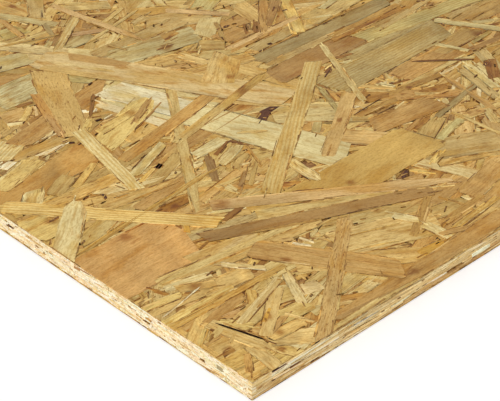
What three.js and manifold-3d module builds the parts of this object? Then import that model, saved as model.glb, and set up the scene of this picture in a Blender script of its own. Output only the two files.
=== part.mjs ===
// Square-edged sheet of oriented strand board (OSB), lying flat on its lower face.
// Millimetres, +Z up. The origin is the middle of the lower face. +X runs along the sheet's
// length, which is also the way most of its face strands lie.
//
// The sheet is one pressed and sawn piece. Its shape is a plain slab with the openings that
// pressed strands leave: pits between strands in both faces, and slits in the sawn edges where
// a strand bridges over the end of the one below it.

import * as THREE from "three";
import { mergeVertices } from "three/addons/utils/BufferGeometryUtils.js";
import Module from "manifold-3d";

// The slab
const sheetLength = 2500; // along X
const sheetWidth = 1250; // along Y
const sheetThickness = 12; // along Z

// The strands that it is pressed from
const strandThickness = 0.7; // after pressing
const strandsDeep = { least: 1, most: 3 }; // how many strands a face pit goes through

// Slits in the sawn edges
const slitPitch = 42; // from one slit to the next, along the edge
const slitLength = { least: 5, most: 13 }; // along the edge
const slitHeight = { least: 0.8, most: 1.3 }; // at its blunt end, beside the strand that ends
const slitReach = { least: 3, most: 8 }; // into the sheet
const slitSkin = 1.6; // whole board left between a slit and a face of the sheet

// Pits in the two faces
const pitSpacing = 200; // side of the square of face that holds one pit
const pitLength = { least: 5, most: 11 };
const pitWidth = { least: 1.6, most: 3.2 };
const pitMargin = 18; // whole face left along the sheet's edges

// Both kinds of opening are blunt at one end, narrow towards their inner end, and are cut by a
// tool that stands out past the surface.
const bluntShare = 0.35; // of an opening's length, from its blunt end to its middle
const kneeShare = 0.25; // how high the curved roof of a slit still is, halfway along
const shoulderShare = 0.7; // width of a pit beside its middle, as a share of its widest
const innerShare = 0.45; // size of the inner end, as a share of the mouth
const mouthOverlap = 0.5; // how far the cutting tool stands out
const curveSteps = 2; // straight steps in a curved side

// Each edge and face has openings of its own.
const seeds = { front: 11, back: 12, right: 13, left: 14, upper: 15, lower: 16 };

// The larger openings round the corner at -X, -Y. A slit's place is its distance from the corner
// and its level, as a share of the sheet's thickness.
const cornerSlitReach = 5;
const frontCornerSlits = [
  { from: 17, level: 0.88, length: 9, height: 1.1 },
  { from: 28, level: 0.52, length: 7, height: 0.9 },
  { from: 42, level: 0.14, length: 6, height: 0.9 },
  { from: 146, level: 0.36, length: 12, height: 1.5 },
];
const leftCornerSlits = [
  { from: 35, level: 0.38, length: 4, height: 0.8 },
  { from: 76, level: 0.4, length: 5, height: 0.8 },
  { from: 187, level: 0.6, length: 5, height: 1.1 },
];

// A pit's place is its distance from the corner, along the sheet and across it. Its turn, in
// degrees, takes its pointed end from +X towards +Y.
const cornerPits = [
  { along: 22, across: 33, length: 30, width: 1.5, turn: -73, strands: 2 },
  { along: 48, across: 78, length: 8, width: 2.2, turn: 40, strands: 2 },
  { along: 74, across: 41, length: 6, width: 2.4, turn: -35, strands: 2 },
  { along: 96, across: 70, length: 6, width: 2.6, turn: 25, strands: 3 },
  { along: 154, across: 114, length: 9, width: 4, turn: 100, strands: 3 },
  { along: 184, across: 71, length: 14, width: 3.6, turn: 25, strands: 3 },
  { along: 226, across: 123, length: 19, width: 1.8, turn: 2, strands: 2 },
  { along: 232, across: 99, length: 18, width: 3.4, turn: 17, strands: 2 },
];

const wasm = await Module();
wasm.setup();

// Repeatable numbers from 0 to 1, so that the same sheet comes out every time.
function numbersFrom(seed) {
  let state = seed;
  return () => {
    state = (Math.imul(state, 1664525) + 1013904223) >>> 0;
    return state / 2 ** 32;
  };
}

const between = (range, share) => range.least + (range.most - range.least) * share;
const eitherSide = (reach, share) => (2 * share - 1) * reach;

// A three.js geometry as a manifold-3d solid.
function solidFrom(geometry) {
  geometry.deleteAttribute("normal");
  geometry.deleteAttribute("uv");
  const merged = mergeVertices(geometry, 1e-4);
  return new wasm.Manifold(
    new wasm.Mesh({
      numProp: 3,
      vertProperties: merged.attributes.position.array,
      triVerts: new Uint32Array(merged.index.array),
    }),
  );
}

// A manifold-3d solid as a three.js geometry with flat-shaded faces.
function geometryFrom(solid) {
  const mesh = solid.getMesh();
  const geometry = new THREE.BufferGeometry();
  geometry.setAttribute("position", new THREE.BufferAttribute(mesh.vertProperties, 3));
  geometry.setIndex(new THREE.BufferAttribute(mesh.triVerts, 1));
  const flat = geometry.toNonIndexed();
  flat.computeVertexNormals();
  return flat;
}

const halfLength = sheetLength / 2;
const halfWidth = sheetWidth / 2;
const middle = sheetThickness / 2;
const quarterTurn = Math.PI / 2;

// The slab before anything is opened in it, sawn square all round.
function slab() {
  const outline = new THREE.Shape([
    new THREE.Vector2(-halfLength, -halfWidth),
    new THREE.Vector2(halfLength, -halfWidth),
    new THREE.Vector2(halfLength, halfWidth),
    new THREE.Vector2(-halfLength, halfWidth),
  ]);
  return new THREE.ExtrudeGeometry(outline, { depth: sheetThickness, bevelEnabled: false });
}

// The mouth of an edge slit, with its origin in its middle. It is blunt where a strand ends, and
// closes in a curve where the strand above comes down on its neighbour.
function slitOutline(length, height) {
  const blunt = -length * bluntShare;
  const tip = blunt + length;
  const outline = new THREE.Shape();
  outline.moveTo(blunt, -height / 2);
  outline.lineTo(tip, -height / 2);
  outline.quadraticCurveTo((blunt + tip) / 2, (kneeShare - 0.5) * height, blunt, height / 2);
  return outline;
}

// The mouth of a face pit: the long three-cornered gap that crossing strands leave.
function pitOutline(length, width) {
  const blunt = -length * bluntShare;
  const outline = new THREE.Shape();
  outline.moveTo(blunt, -width / 2);
  outline.lineTo(blunt + length, 0);
  outline.lineTo(0, (width / 2) * shoulderShare);
  outline.lineTo(blunt, width / 2);
  return outline;
}

// A tapering plug, as a cutting tool: its mouth has the given outline in the XY plane, and it
// narrows as it goes down along -Z to the given depth.
function taperedPlug(outline, depth) {
  const plug = new THREE.ExtrudeGeometry(outline, {
    depth: depth + mouthOverlap,
    bevelEnabled: false,
    curveSegments: curveSteps,
  });
  plug.translate(0, 0, -depth);
  const corners = plug.attributes.position;
  for (let i = 0; i < corners.count; i++) {
    const share = corners.getZ(i) < 0 ? innerShare : 1;
    corners.setXY(i, corners.getX(i) * share, corners.getY(i) * share);
  }
  return plug;
}

// The slits of one sawn edge, as plugs: the given ones, then scattered ones along the rest of it.
// The edge is worked on lying along X with its outer side up. Distances run from its -X end, or
// from its +X end where the direction is -1.
function edgeSlits(edgeLength, direction, given, seed) {
  const plugs = given.map(({ from, level, length, height }) => {
    const plug = taperedPlug(slitOutline(length, height), cornerSlitReach);
    return plug.translate(direction * (from - edgeLength / 2), (level - 0.5) * sheetThickness, 0);
  });
  const keepClear = given.length > 0 ? given[given.length - 1].from + slitPitch / 2 : 0;
  const next = numbersFrom(seed);
  const count = Math.floor(edgeLength / slitPitch) - 1;
  const levelRoom = middle - slitSkin - slitHeight.most / 2;
  const pitchRoom = slitPitch / 2 - slitLength.most;
  for (let i = 0; i < count; i++) {
    const mouth = slitOutline(between(slitLength, next()), between(slitHeight, next()));
    const plug = taperedPlug(mouth, between(slitReach, next()));
    if (next() < 0.5) plug.rotateZ(Math.PI);
    const from = (i + 1) * slitPitch + eitherSide(pitchRoom, next());
    plug.translate(direction * (from - edgeLength / 2), eitherSide(levelRoom, next()), 0);
    if (from > keepClear) plugs.push(plug);
  }
  return plugs;
}

// The pits of one face, as plugs: the given ones, then scattered ones, one somewhere in each
// square of the face that lies beyond them. The face is worked on lying in the XY plane.
function facePits(given, seed) {
  const plugs = given.map(({ along, across, length, width, turn, strands }) => {
    const plug = taperedPlug(pitOutline(length, width), strands * strandThickness);
    plug.rotateZ(THREE.MathUtils.degToRad(turn));
    return plug.translate(along - halfLength, across - halfWidth, 0);
  });
  const keepClear = Math.max(0, ...given.map(({ along, across }) => along + across));
  const next = numbersFrom(seed);
  const columns = Math.floor((sheetLength - 2 * pitMargin) / pitSpacing);
  const rows = Math.floor((sheetWidth - 2 * pitMargin) / pitSpacing);
  const room = pitSpacing / 2 - pitLength.most;
  for (let column = 0; column < columns; column++) {
    for (let row = 0; row < rows; row++) {
      const mouth = pitOutline(between(pitLength, next()), between(pitWidth, next()));
      const plug = taperedPlug(mouth, between(strandsDeep, next()) * strandThickness);
      plug.rotateZ(next() * 2 * Math.PI);
      const x = (column - (columns - 1) / 2) * pitSpacing + eitherSide(room, next());
      const y = (row - (rows - 1) / 2) * pitSpacing + eitherSide(room, next());
      plug.translate(x, y, 0);
      if (x + halfLength + y + halfWidth > keepClear) plugs.push(plug);
    }
  }
  return plugs;
}

// Carries plugs from the plane that they were worked on in to their edge or face: tipped about X,
// turned about Z and set off.
function carried(plugs, turn, tip, x, y, z) {
  const matrix = new THREE.Matrix4().makeRotationZ(turn);
  matrix.multiply(new THREE.Matrix4().makeRotationX(tip));
  matrix.setPosition(x, y, z);
  return plugs.map((plug) => plug.applyMatrix4(matrix));
}

const frontSlits = edgeSlits(sheetLength, 1, frontCornerSlits, seeds.front);
const backSlits = edgeSlits(sheetLength, 1, [], seeds.back);
const rightSlits = edgeSlits(sheetWidth, 1, [], seeds.right);
const leftSlits = edgeSlits(sheetWidth, -1, leftCornerSlits, seeds.left);
const upperPits = facePits(cornerPits, seeds.upper);
const lowerPits = facePits([], seeds.lower);

const plugs = [
  ...carried(frontSlits, 0, quarterTurn, 0, -halfWidth, middle),
  ...carried(backSlits, 2 * quarterTurn, quarterTurn, 0, halfWidth, middle),
  ...carried(rightSlits, quarterTurn, quarterTurn, halfLength, 0, middle),
  ...carried(leftSlits, -quarterTurn, quarterTurn, -halfLength, 0, middle),
  ...carried(upperPits, 0, 0, 0, 0, sheetThickness),
  ...carried(lowerPits, 0, 2 * quarterTurn, 0, 0, 0),
];

const openings = plugs.map(solidFrom).reduce((all, one) => all.add(one));
const board = solidFrom(slab()).subtract(openings);

const strandBoard = new THREE.MeshStandardMaterial({
  name: "strand_board",
  color: new THREE.Color(0.78, 0.6, 0.36),
  roughness: 0.7,
  metalness: 0,
});

const panel = new THREE.Mesh(geometryFrom(board), strandBoard);
panel.name = "osb_panel";

const sheet = new THREE.Group();
sheet.name = "osb_sheet";
sheet.add(panel);

export default sheet;
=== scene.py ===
import math

import bpy
import numpy as np
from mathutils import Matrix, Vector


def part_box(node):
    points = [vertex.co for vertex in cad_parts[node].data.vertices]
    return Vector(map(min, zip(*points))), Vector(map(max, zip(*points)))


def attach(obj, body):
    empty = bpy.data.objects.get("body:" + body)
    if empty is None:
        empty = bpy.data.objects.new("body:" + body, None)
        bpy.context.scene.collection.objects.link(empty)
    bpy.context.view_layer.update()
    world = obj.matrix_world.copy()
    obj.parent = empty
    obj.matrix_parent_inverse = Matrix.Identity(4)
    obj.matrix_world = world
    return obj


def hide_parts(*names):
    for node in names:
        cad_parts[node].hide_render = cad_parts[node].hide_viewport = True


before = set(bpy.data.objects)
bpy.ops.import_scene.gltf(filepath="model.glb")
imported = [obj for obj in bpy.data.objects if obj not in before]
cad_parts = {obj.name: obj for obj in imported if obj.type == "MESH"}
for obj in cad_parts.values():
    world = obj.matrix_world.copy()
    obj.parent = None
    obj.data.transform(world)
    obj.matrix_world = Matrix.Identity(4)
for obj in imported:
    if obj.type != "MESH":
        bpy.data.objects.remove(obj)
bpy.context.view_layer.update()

low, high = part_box("osb_panel")
sheetLength = (high.x - low.x) * 1000  # lengths and places below are in millimetres
sheetWidth = (high.y - low.y) * 1000
sheetThickness = (high.z - low.z) * 1000


# the camera looks at the front left corner of the sheet
cameraView = {
    "aim": (104.6, 110.5),  # on the upper face, from its front left corner
    "distance": 960.4,
    "heading": 46.2,  # degrees from +X towards +Y
    "down": 34.1,  # degrees below level
    "lens": 127.7,
    "sensor": 36.0,
}

studio = {
    "sunStrength": 2.1,
    "sunSoftness": 30,  # degrees across
    "sunFrom": 206,  # degrees from +X towards +Y, the side that the light comes from
    "sunHeight": 38,  # degrees above level
    "skyStrength": 0.5,
    "floorTone": 0.8,
    "floorGlow": 0.3,
    "floorSize": 60.0,  # metres
    "floorGap": 0.0002,  # metres
}


def makeCamera():
    data = bpy.data.cameras.new("camera")
    data.lens = cameraView["lens"]
    data.sensor_width = cameraView["sensor"]
    data.clip_start = 0.02
    camera = bpy.data.objects.new("camera", data)
    heading = math.radians(cameraView["heading"])
    down = math.radians(cameraView["down"])
    away = cameraView["distance"] / 1000
    camera.location = (
        low.x + cameraView["aim"][0] / 1000 - math.cos(heading) * math.cos(down) * away,
        low.y + cameraView["aim"][1] / 1000 - math.sin(heading) * math.cos(down) * away,
        high.z + math.sin(down) * away,
    )
    camera.rotation_euler = (math.pi / 2 - down, 0, heading - math.pi / 2)
    bpy.context.scene.collection.objects.link(camera)
    bpy.context.scene.camera = camera


def makeSun():
    data = bpy.data.lights.new("softLamp", "SUN")
    data.energy = studio["sunStrength"]
    data.angle = math.radians(studio["sunSoftness"])
    lamp = bpy.data.objects.new("softLamp", data)
    lamp.rotation_euler = (0, math.radians(90 - studio["sunHeight"]), math.radians(studio["sunFrom"]))
    bpy.context.scene.collection.objects.link(lamp)


def addNode(tree, kind, inputs, **settings):
    # inputs are told by name or number, and each gets a value or what another node gives
    node = tree.nodes.new("ShaderNode" + kind)
    for name, value in settings.items():
        setattr(node, name, value)
    for key, value in inputs.items():
        if isinstance(value, bpy.types.NodeSocket):
            tree.links.new(value, node.inputs[key])
        else:
            node.inputs[key].default_value = value
    return node


def addMath(tree, operation, *values):
    return addNode(tree, "Math", dict(enumerate(values)), operation=operation).outputs[0]


def addSeenDirectly(tree):
    # 1 where the camera, a mirror or glass looks straight at the surface
    path = addNode(tree, "LightPath", {}).outputs
    seen = addMath(tree, "MAXIMUM", path["Is Camera Ray"], path["Is Glossy Ray"])
    return addMath(tree, "MAXIMUM", seen, path["Is Transmission Ray"])


def makeMaterial(name):
    material = bpy.data.materials.new(name)
    material.use_nodes = True
    material.node_tree.nodes.clear()
    return material, material.node_tree


def makeWorld():
    world = bpy.data.worlds.new("studio")
    world.use_nodes = True
    tree = world.node_tree
    tree.nodes.clear()
    mix = addNode(tree, "MixShader", {0: addSeenDirectly(tree)})
    for i, strength in enumerate((studio["skyStrength"], 1.0)):
        background = addNode(tree, "Background", {"Color": (1, 1, 1, 1), "Strength": strength})
        tree.links.new(background.outputs[0], mix.inputs[i + 1])
    addNode(tree, "OutputWorld", {0: mix.outputs[0]})
    bpy.context.scene.world = world


def makeFloor():
    bpy.ops.object.select_all(action="DESELECT")
    bpy.ops.mesh.primitive_plane_add(size=studio["floorSize"], location=(0, 0, -studio["floorGap"]))
    floor = bpy.context.object
    floor.name = "floor"
    material, tree = makeMaterial("floorWhite")
    diffuse = addNode(tree, "BsdfDiffuse", {"Color": (studio["floorTone"],) * 3 + (1,)})
    strength = addMath(tree, "MULTIPLY", addSeenDirectly(tree), studio["floorGlow"])
    glow = addNode(tree, "Emission", {"Strength": strength})
    both = addNode(tree, "AddShader", {0: diffuse.outputs[0], 1: glow.outputs[0]})
    addNode(tree, "OutputMaterial", {0: both.outputs[0]})
    floor.data.materials.append(material)


bpy.context.scene.view_settings.view_transform = "Standard"
makeCamera()
makeSun()
makeWorld()
makeFloor()
print("camera, light and floor are ready")


# the wood's tones as they look on a screen, 0 to 255
woodTones = {
    "white": (236, 213, 158),
    "cream": (228, 201, 136),
    "straw": (218, 188, 117),
    "honey": (215, 178, 104),
    "golden": (217, 179, 98),
    "amber": (208, 162, 86),
    "tan": (214, 176, 107),
    "rose": (211, 168, 102),
    "blush": (217, 180, 117),
    "brown": (196, 154, 86),
    "umber": (174, 134, 74),
    "olive": (192, 168, 108),
    "oliveCream": (219, 193, 127),
    "grey": (172, 152, 108),
    "ivory": (229, 209, 147),
    "corn": (232, 200, 119),
    "sand": (229, 195, 122),
    "flax": (205, 185, 125),
    "khaki": (200, 170, 106),
    "dun": (197, 163, 93),
    "drab": (184, 149, 84),
    "moss": (170, 146, 92),
    "sage": (182, 161, 99),
    "reed": (200, 180, 114),
    "fawn": (196, 158, 104),
    "chalk": (248, 232, 186),
    "primrose": (246, 224, 160),
    "ochre": (188, 146, 74),
    "peach": (224, 194, 131),
    "apricot": (222, 173, 101),
    "maize": (213, 173, 92),
    "saffron": (228, 188, 108),
    "hay": (210, 195, 140),
    "linen": (237, 214, 149),
    "milk": (236, 221, 174),
    "clay": (204, 162, 92),
    "resin": (216, 167, 70),
    "walnut": (156, 120, 66),
    "butter": (245, 213, 134),
    "rust": (174, 126, 54),
    # the next three are dark tones that paint the shade of gaps, slits and hollows; bark also stands for bark
    "bark": (126, 84, 40),
    "hollow": (150, 104, 44),
    "pitch": (88, 50, 18),
    "sawnWhite": (254, 238, 206),
    "sawnPink": (252, 226, 184),
    "sawnCream": (240, 216, 160),
    "sawnStraw": (230, 200, 140),
    "sawnTan": (214, 176, 116),
    "sawnBrown": (172, 124, 72),
}

# each tint multiplies the tone where its figure shows
woodFinish = {
    "roughness": 0.62,
    "specular": 0.3,
    "bumpStrength": 0.6,
    "bumpDistance": 0.00012,
    "fibreTint": (0.74, 0.62, 0.46),
    "streakTint": (0.86, 0.77, 0.60),
    "paleTint": (1.12, 1.15, 1.24),
    "bandTint": (0.84, 0.69, 0.42),
    "poreTint": (0.50, 0.36, 0.22),
    "stainTint": (0.78, 0.61, 0.38),
    "blotTint": (0.58, 0.42, 0.25),
    "gritTint": (0.84, 0.79, 0.70),
    "amberTint": (0.88, 0.77, 0.52),
    "ashTint": (1.11, 1.14, 1.19),
    # a painted shade along each strand's rim, broken up along its length
    "shadeTint": (0.46, 0.36, 0.24),
    # a painted highlight along each strand's rim, where its painted shade is broken off
    "lipTint": (1.14, 1.17, 1.22),
    "blotFade": (1.0, 0.1),  # from a blot's rim, at 1, to its middle
    "shadeFade": (0.40, -0.05),  # in millimetres inwards from a strand's rim
    "lipFade": (0.7, 0.1),
    "fibreDepth": 0.7,  # shares of the bump
    "gritDepth": 0.8,
    "poreDepth": 0.6,
}


def linearTone(tone):
    shares = np.array(tone, float) / 255
    return np.where(shares <= 0.04045, shares / 12.92, ((shares + 0.055) / 1.055) ** 2.4)


def addNoise(tree, vector, scale, detail=2.0, rough=0.5, distortion=0.0):
    inputs = {"Vector": vector, "Scale": scale, "Detail": detail, "Roughness": rough}
    return addNode(tree, "TexNoise", {**inputs, "Distortion": distortion}).outputs["Fac"]


def addScaled(tree, vector, scale):
    # the vector, stretched by a scale for each axis
    return addNode(tree, "Mapping", {"Vector": vector, "Scale": scale}).outputs[0]


def addRange(tree, value, first, last):
    # 0 up to the first value, and 1 from the last one
    inputs = {"Value": value, "From Min": first, "From Max": last}
    return addNode(tree, "MapRange", inputs, interpolation_type="SMOOTHSTEP").outputs[0]


def addTint(tree, colour, share, tint):
    # the colour, multiplied by the tint where the share is 1
    inputs = {"Factor": share, "A": colour, "B": tint + (1,)}
    return addNode(tree, "Mix", inputs, data_type="RGBA", blend_type="MULTIPLY").outputs["Result"]


# for each figure of the wood: how dense it is along and across the grain, the detail and roughness of
# its noise, from where to where it fades in, and its distortion
fibreFigures = {
    "Fibres": ((0.10, 1.2, 1), 2.0, 0.7, (0.50, 0.68), 0.0),
    "Streaks": ((0.02, 0.5, 1), 2.0, 0.6, (0.46, 0.68), 0.0),
    "Pale": ((0.03, 0.3, 1), 3.0, 0.7, (0.46, 0.64), 0.0),
    "Pores": ((0.25, 1.4, 1), 1.0, 0.5, (0.60, 0.70), 0.0),
    "Stains": ((0.05, 0.16, 1), 3.0, 0.65, (0.52, 0.68), 0.4),
    "Grit": ((0.45, 0.9, 1), 2.0, 0.75, (0.46, 0.64), 0.0),
    "Breaks": ((0.11, 0.3, 1), 2.0, 0.6, (0.46, 0.56), 0.0),
    "Amber": ((0.022, 0.06, 1), 3.0, 0.65, (0.50, 0.66), 0.6),
}

ashRange = (0.50, 0.36)  # of the amber's noise, where it is weakest

growthBands = {"stretch": (0.012, 0.10, 1), "wander": 7.0, "closeness": 2.8, "fadeIn": (0.30, 0.90)}

grainSway = {"stretch": (0.02, 0.05, 1), "aside": 4.0}


def makeFibreGroup():
    # how wood looks along its grain; the grain is given in millimetres along it and across it
    group = bpy.data.node_groups.new("fibreFigure", "ShaderNodeTree")
    group.interface.new_socket(name="Grain", in_out="INPUT", socket_type="NodeSocketVector")
    for name in (*fibreFigures, "Ash", "Bands"):
        group.interface.new_socket(name=name, in_out="OUTPUT", socket_type="NodeSocketFloat")
    straight = group.nodes.new("NodeGroupInput").outputs["Grain"]
    leave = group.nodes.new("NodeGroupOutput")
    sway = addNoise(group, addScaled(group, straight, grainSway["stretch"]), 1.0)
    aside = addMath(group, "MULTIPLY_ADD", sway, grainSway["aside"], -grainSway["aside"] / 2)
    shift = addNode(group, "CombineXYZ", {"Y": aside}).outputs[0]
    grain = addNode(group, "VectorMath", {0: straight, 1: shift}).outputs["Vector"]
    for name, (stretch, detail, rough, fadeIn, distortion) in fibreFigures.items():
        noise = addNoise(group, addScaled(group, grain, stretch), 1.0, detail, rough, distortion)
        group.links.new(addRange(group, noise, *fadeIn), leave.inputs[name])
        if name == "Amber":
            group.links.new(addRange(group, noise, *ashRange), leave.inputs["Ash"])
    wander = addNoise(group, addScaled(group, grain, growthBands["stretch"]), 1.0, 1.0)
    split = addNode(group, "SeparateXYZ", {0: grain}).outputs
    shifted = addMath(group, "MULTIPLY", wander, growthBands["wander"])
    across = addMath(group, "MULTIPLY_ADD", split["Y"], growthBands["closeness"], shifted)
    wave = addMath(group, "MULTIPLY_ADD", addMath(group, "SINE", across), 0.5, wander)
    group.links.new(addRange(group, wave, *growthBands["fadeIn"]), leave.inputs["Bands"])
    return group


def readAttribute(tree, name):
    return addNode(tree, "Attribute", {}, attribute_name=name).outputs


def makeStrandWood():
    material, tree = makeMaterial("strandWood")
    grain = readAttribute(tree, "grain")["Vector"]
    masks = addNode(tree, "Group", {"Grain": grain}, node_tree=makeFibreGroup()).outputs
    tone = readAttribute(tree, "tone")
    nature = addNode(tree, "SeparateXYZ", {0: readAttribute(tree, "nature")["Vector"]}).outputs
    rim = addNode(tree, "SeparateXYZ", {0: readAttribute(tree, "rim")["Vector"]}).outputs
    blot = addNode(tree, "VectorMath", {0: readAttribute(tree, "blot")["Vector"]}, operation="LENGTH")

    def figured(name):
        # the alpha of its tone tells how plainly a strand shows its fibres
        return addMath(tree, "MULTIPLY", masks[name], tone["Alpha"])

    def shareOf(name, axis):
        return addMath(tree, "MULTIPLY", masks[name], nature[axis])

    pores = shareOf("Pores", "Z")
    blurred = addMath(tree, "MULTIPLY_ADD", masks["Stains"], -0.5, blot.outputs["Value"])
    inwards = addMath(tree, "SUBTRACT", rim["Y"], addMath(tree, "ABSOLUTE", rim["X"]))
    inwards = addMath(tree, "MINIMUM", inwards, rim["Z"])
    inwards = addMath(tree, "MULTIPLY_ADD", masks["Grit"], -0.3, inwards)
    whole = addMath(tree, "SUBTRACT", 1.0, masks["Breaks"])
    # a painted highlight along the strand's rim, where the painted shade is broken off
    paintedHighlight = addMath(tree, "MULTIPLY", addRange(tree, inwards, *woodFinish["lipFade"]), whole)
    # a painted shade along the strand's rim, broken up along its length
    shade = addMath(tree, "MULTIPLY", addRange(tree, inwards, *woodFinish["shadeFade"]), masks["Breaks"])
    colour = tone["Color"]
    for share, tint in (
        (masks["Ash"], "ashTint"),
        (masks["Amber"], "amberTint"),
        (figured("Pale"), "paleTint"),
        (figured("Streaks"), "streakTint"),
        (shareOf("Bands", "X"), "bandTint"),
        (figured("Fibres"), "fibreTint"),
        (shareOf("Stains", "Y"), "stainTint"),
        (masks["Grit"], "gritTint"),
        (addRange(tree, blurred, *woodFinish["blotFade"]), "blotTint"),
        (pores, "poreTint"),
        (paintedHighlight, "lipTint"),
        (shade, "shadeTint"),
    ):
        colour = addTint(tree, colour, share, woodFinish[tint])
    height = addMath(tree, "MULTIPLY_ADD", masks["Fibres"], -woodFinish["fibreDepth"], 1.0)
    height = addMath(tree, "MULTIPLY_ADD", masks["Grit"], -woodFinish["gritDepth"], height)
    height = addMath(tree, "MULTIPLY_ADD", pores, -woodFinish["poreDepth"], height)
    bump = addNode(tree, "Bump", {
        "Strength": woodFinish["bumpStrength"],
        "Distance": woodFinish["bumpDistance"],
        "Height": height,
    })
    shader = addNode(tree, "BsdfPrincipled", {
        "Base Color": colour,
        "Roughness": woodFinish["roughness"],
        "Specular IOR Level": woodFinish["specular"],
        "Normal": bump.outputs[0],
    })
    addNode(tree, "OutputMaterial", {0: shader.outputs[0]})
    return material


strandWood = makeStrandWood()


# strands are modelled once each: cuts are where the upper side bends, lanes is how many strips it has
# across, and taper is how wide the two ends are
strandForms = {
    "plank": {"cuts": (0.14, 0.29, 0.43, 0.57, 0.71, 0.86), "lanes": 2, "taper": (0.97, 0.95)},
    "flake": {"cuts": (0.05, 0.2, 0.36, 0.5, 0.64, 0.8, 0.95), "lanes": 2, "taper": (0.75, 0.82)},
    "wedge": {"cuts": (0.2, 0.4, 0.6, 0.8), "lanes": 1, "taper": (1.0, 0.35)},
    "sliver": {"cuts": (0.14, 0.38, 0.62, 0.86), "lanes": 1, "taper": (0.15, 0.12)},
    "slat": {"cuts": (0.3, 0.7), "lanes": 1, "taper": (0.85, 0.75)},
    "chip": {"cuts": (), "lanes": 1, "taper": (0.75, 0.5)},
}


def selectWhere(mesh, test):
    # picks the points that pass the test, and the edges and faces between them
    bpy.ops.object.mode_set(mode="OBJECT")
    for point in mesh.vertices:
        point.select = test(point.co)
    for edge in mesh.edges:
        edge.select = all(mesh.vertices[i].select for i in edge.vertices)
    for face in mesh.polygons:
        face.select = all(mesh.vertices[i].select for i in face.vertices)
    bpy.ops.object.mode_set(mode="EDIT")


def modelStrand(form):
    # lies along X from 0 to 1, from -1 to 1 in Y, with its upper side at 0 and its lower side at -1
    bpy.ops.object.select_all(action="DESELECT")
    bpy.ops.mesh.primitive_cube_add(size=1, location=(0.5, 0, -0.5), scale=(1, 2, 1))
    strand = bpy.context.object
    bpy.ops.object.transform_apply(location=True, rotation=True, scale=True)
    mesh = strand.data
    bpy.ops.object.mode_set(mode="EDIT")
    bpy.ops.mesh.select_mode(type="VERT")
    for cut in form["cuts"]:
        selectWhere(mesh, lambda co: co.z > -0.5)
        bpy.ops.mesh.bisect(plane_co=(cut, 0, 0), plane_no=(1, 0, 0))
    for lane in range(1, form["lanes"]):
        selectWhere(mesh, lambda co: co.z > -0.5)
        bpy.ops.mesh.bisect(plane_co=(0.5, 2 * lane / form["lanes"] - 1, 0), plane_no=(0, 1, 0))
    for end, share in enumerate(form["taper"]):
        selectWhere(mesh, lambda co: abs(co.x - end) < 0.001)
        bpy.ops.transform.resize(value=(1, share, 1), center_override=(end, 0, 0))
    bpy.ops.object.mode_set(mode="OBJECT")
    points = np.array([point.co for point in mesh.vertices])
    upper = points[:, 2] > -0.5
    columns = np.array([0.0] + list(form["cuts"]) + [1.0])
    column = np.abs(points[:, :1] - columns).argmin(1)
    left = np.array([points[upper & (column == i), 1].max() for i in range(len(columns))])
    right = np.array([points[upper & (column == i), 1].min() for i in range(len(columns))])
    master = {
        "u": points[:, 0],
        "v": points[:, 1],
        "upper": upper,
        "column": column,
        "columns": columns,
        "left": left,
        "right": right,
        "atEnd": (points[:, 0] < 0.001) * 1.0 - (points[:, 0] > 0.999),
        "corners": np.array([i for face in mesh.polygons for i in face.vertices]),
        "sides": np.array([len(face.vertices) for face in mesh.polygons]),
    }
    bpy.data.objects.remove(strand)
    bpy.data.meshes.remove(mesh)
    return master


masters = {name: modelStrand(form) for name, form in strandForms.items()}
print("strands modelled:", {name: int((m["sides"] - 2).sum()) for name, m in masters.items()})


def makeBed(start, along, up, size):
    # each side of the sheet is a bed, on which strands are laid from the outermost one inwards; along
    # and up are its two directions, and their cross product points outwards
    return {"start": start, "along": along, "up": up, "size": size}


faceSize = (sheetLength, sheetWidth)
longEdgeSize = (sheetLength, sheetThickness)
shortEdgeSize = (sheetWidth, sheetThickness)

beds = {
    "upper": makeBed((low.x, low.y, high.z), (1, 0, 0), (0, 1, 0), faceSize),
    "lower": makeBed((low.x, high.y, low.z), (1, 0, 0), (0, -1, 0), faceSize),
    "front": makeBed((low.x, low.y, low.z), (1, 0, 0), (0, 0, 1), longEdgeSize),
    "right": makeBed((high.x, low.y, low.z), (0, 1, 0), (0, 0, 1), shortEdgeSize),
    "back": makeBed((high.x, high.y, low.z), (-1, 0, 0), (0, 0, 1), longEdgeSize),
    "left": makeBed((low.x, high.y, low.z), (0, -1, 0), (0, 0, 1), shortEdgeSize),
}


def axesOf(bed):
    # where a bed starts and its three directions, of which the last points outwards
    start, along, up = (np.array(bed[key], float) for key in ("start", "along", "up"))
    return start, along, up, np.cross(along, up)


def clearBed(bed, cell, inset, rim=0.0):
    # readies a bed, whose cells tell what lies on it; inset and rim keep strands off its sides
    columns = math.ceil(bed["size"][0] / cell)
    rows = math.ceil(bed["size"][1] / cell)
    bed["cell"] = cell
    bed["inset"] = inset
    bed["rim"] = rim
    bed["shape"] = (rows, columns)
    bed["free"] = np.zeros(rows * columns, np.float32)  # how deep the next strand has to lie
    bed["laid"] = np.zeros(rows * columns, bool)  # where a strand lies
    bed["open"] = np.zeros(rows * columns, bool)  # where the sheet has an opening
    bed["strands"] = []


def coarsenBed(bed):
    # goes on with cells of twice the size
    rows, columns = bed["shape"][0] // 2, bed["shape"][1] // 2
    for key, gather in (("free", np.max), ("laid", np.min), ("open", np.max)):
        fine = bed[key].reshape(rows, 2, columns, 2)
        bed[key] = gather(fine, axis=(1, 3)).ravel()
    bed["shape"] = (rows, columns)
    bed["cell"] *= 2


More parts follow.
